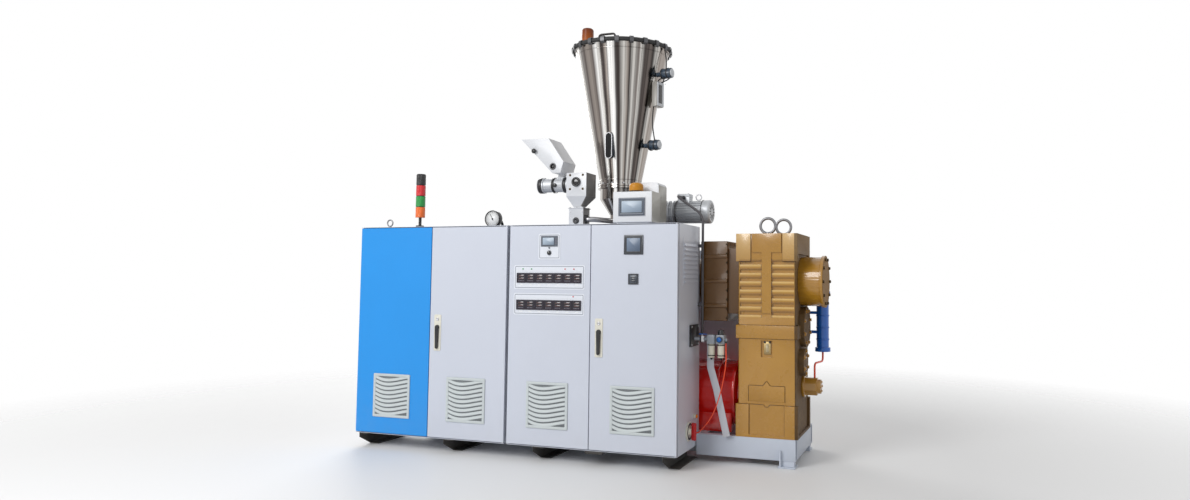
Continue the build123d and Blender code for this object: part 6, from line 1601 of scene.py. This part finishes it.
# %% Air tube
tube_start, tube_end = np.array([1.0725, -0.20575, 0.834]), np.array([0.8525, -0.19875, 0.205])
tube_drops_mm = [
    (0, 0, 0), (0, 0, -50), (3, -3, -100), (0, -6, -150), (-6, -7, -200), (-15, -7, -250), (-26, -6, -299),
    (-39, -4, -348), (-54, -2, -396), (-71, 0, -443), (-91, 2, -488), (-115, 4, -530), (-143, 5, -568),
    (-172, 6, -600),
]
tube_points = np.vstack([tube_start + np.array(tube_drops_mm) / 1000.0, tube_end + (0.02, 0, 0), tube_end])
tube_curve = bpy.data.curves.new("air_tube_red", "CURVE")
tube_curve.dimensions = "3D"
tube_spline = tube_curve.splines.new("NURBS")
tube_spline.points.add(len(tube_points) - 1)
tube_spline.points.foreach_set("co", np.hstack([tube_points, np.ones((len(tube_points), 1))]).ravel())
tube_spline.order_u = 3
tube_spline.use_endpoint_u = True
tube_spline.resolution_u = 8
tube_curve.bevel_depth = 0.004
tube_curve.bevel_resolution = 4
tube_curve.use_fill_caps = True
tube_curve.materials.append(pipe_red)
air_tube_piece = riding("air_tube_red", tube_curve, "machine")
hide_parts("air_tube")
print("air tube control points", len(tube_points))

# %% [markdown]
# The studio's floor is a pale disc. It fades with the distance from its middle, so that it
# ends in the white backdrop without an edge.

# %% Studio floor
floor_radius, floor_drop, fade_start, fade_end = 9.0, 0.0005, 2.6, 6.5
stage_middle = (0.1, 0.2)
floor_finish = Finish("studio_floor", srgb(238, 238, 238), 0.55)
from_middle_x, from_middle_y = floor_finish.x - stage_middle[0], floor_finish.y - stage_middle[1]
distance = from_middle_x.maths("SQRT", from_middle_x * from_middle_x + from_middle_y * from_middle_y)
clear = floor_finish.node("ShaderNodeBsdfTransparent")[0]
solid = Wire(floor_finish, floor_finish.shader.outputs[0])
fade = distance.ramp(fade_start, fade_end)
faded = floor_finish.node("ShaderNodeMixShader", {}, {0: fade, 1: solid, 2: clear})[0]
floor_finish.feed(floor_finish.tree.nodes["Material Output"].inputs["Surface"], faded)
floor_rim = np.insert(circle(floor_radius, 96) + stage_middle, 2, -floor_drop, axis=1)
floor_mesh = bpy.data.meshes.new("studio_floor")
floor_mesh.from_pydata(floor_rim.tolist(), [], [list(range(96))])
floor_mesh.materials.append(floor_finish.material)
floor = linked("studio_floor", floor_mesh)
print("floor fades from", fade_start, "to", fade_end, "m")

# %% [markdown]
# One large soft light stands in front and above, one behind and a weak one at the right. The
# world is white where the camera or a mirror looks at it, and dimmer as a light, so that pale
# paint keeps its colour.

# %% World and lamps
world = bpy.data.worlds.new("studio")
bpy.context.scene.world = world
world.use_nodes = True
world_tree = world.node_tree
ray = world_tree.nodes.new("ShaderNodeLightPath")
backdrop = world_tree.nodes["Background"]
world_light = 0.45


def larger(first, second):
    """The larger of two of the world's values."""
    made = world_tree.nodes.new("ShaderNodeMath")
    made.operation = "MAXIMUM"
    world_tree.links.new(first, made.inputs[0])
    world_tree.links.new(second, made.inputs[1])
    return made.outputs[0]


looked_at = larger(ray.outputs["Is Camera Ray"], ray.outputs["Is Glossy Ray"])
looked_at = larger(looked_at, ray.outputs["Is Transmission Ray"])
strength = world_tree.nodes.new("ShaderNodeMapRange")
strength.inputs["To Min"].default_value = world_light
strength.inputs["To Max"].default_value = 1.0
backdrop.inputs["Color"].default_value = (1.0, 1.0, 1.0, 1.0)
world_tree.links.new(looked_at, strength.inputs["Value"])
world_tree.links.new(strength.outputs[0], backdrop.inputs["Strength"])


def soft_light(name, place, target, size, power):
    """A square lamp at a place, turned to face its target."""
    lamp_data = bpy.data.lights.new(name, "AREA")
    lamp_data.size = size
    lamp_data.energy = power
    linked(name, lamp_data).matrix_world = matrix_of(turned_to(np.subtract(place, target)), place)


soft_light("lamp_front", (-2.2, -6.0, 4.4), (0.0, 0.0, 1.2), 3.2, 275)
soft_light("lamp_right", (6.0, -1.5, 4.0), (0.8, 0.0, 1.2), 3.0, 16)
soft_light("lamp_back", (-4.2, 4.6, 4.6), (0.0, 0.0, 1.2), 3.5, 170)
print("lamps", len(bpy.data.lights))
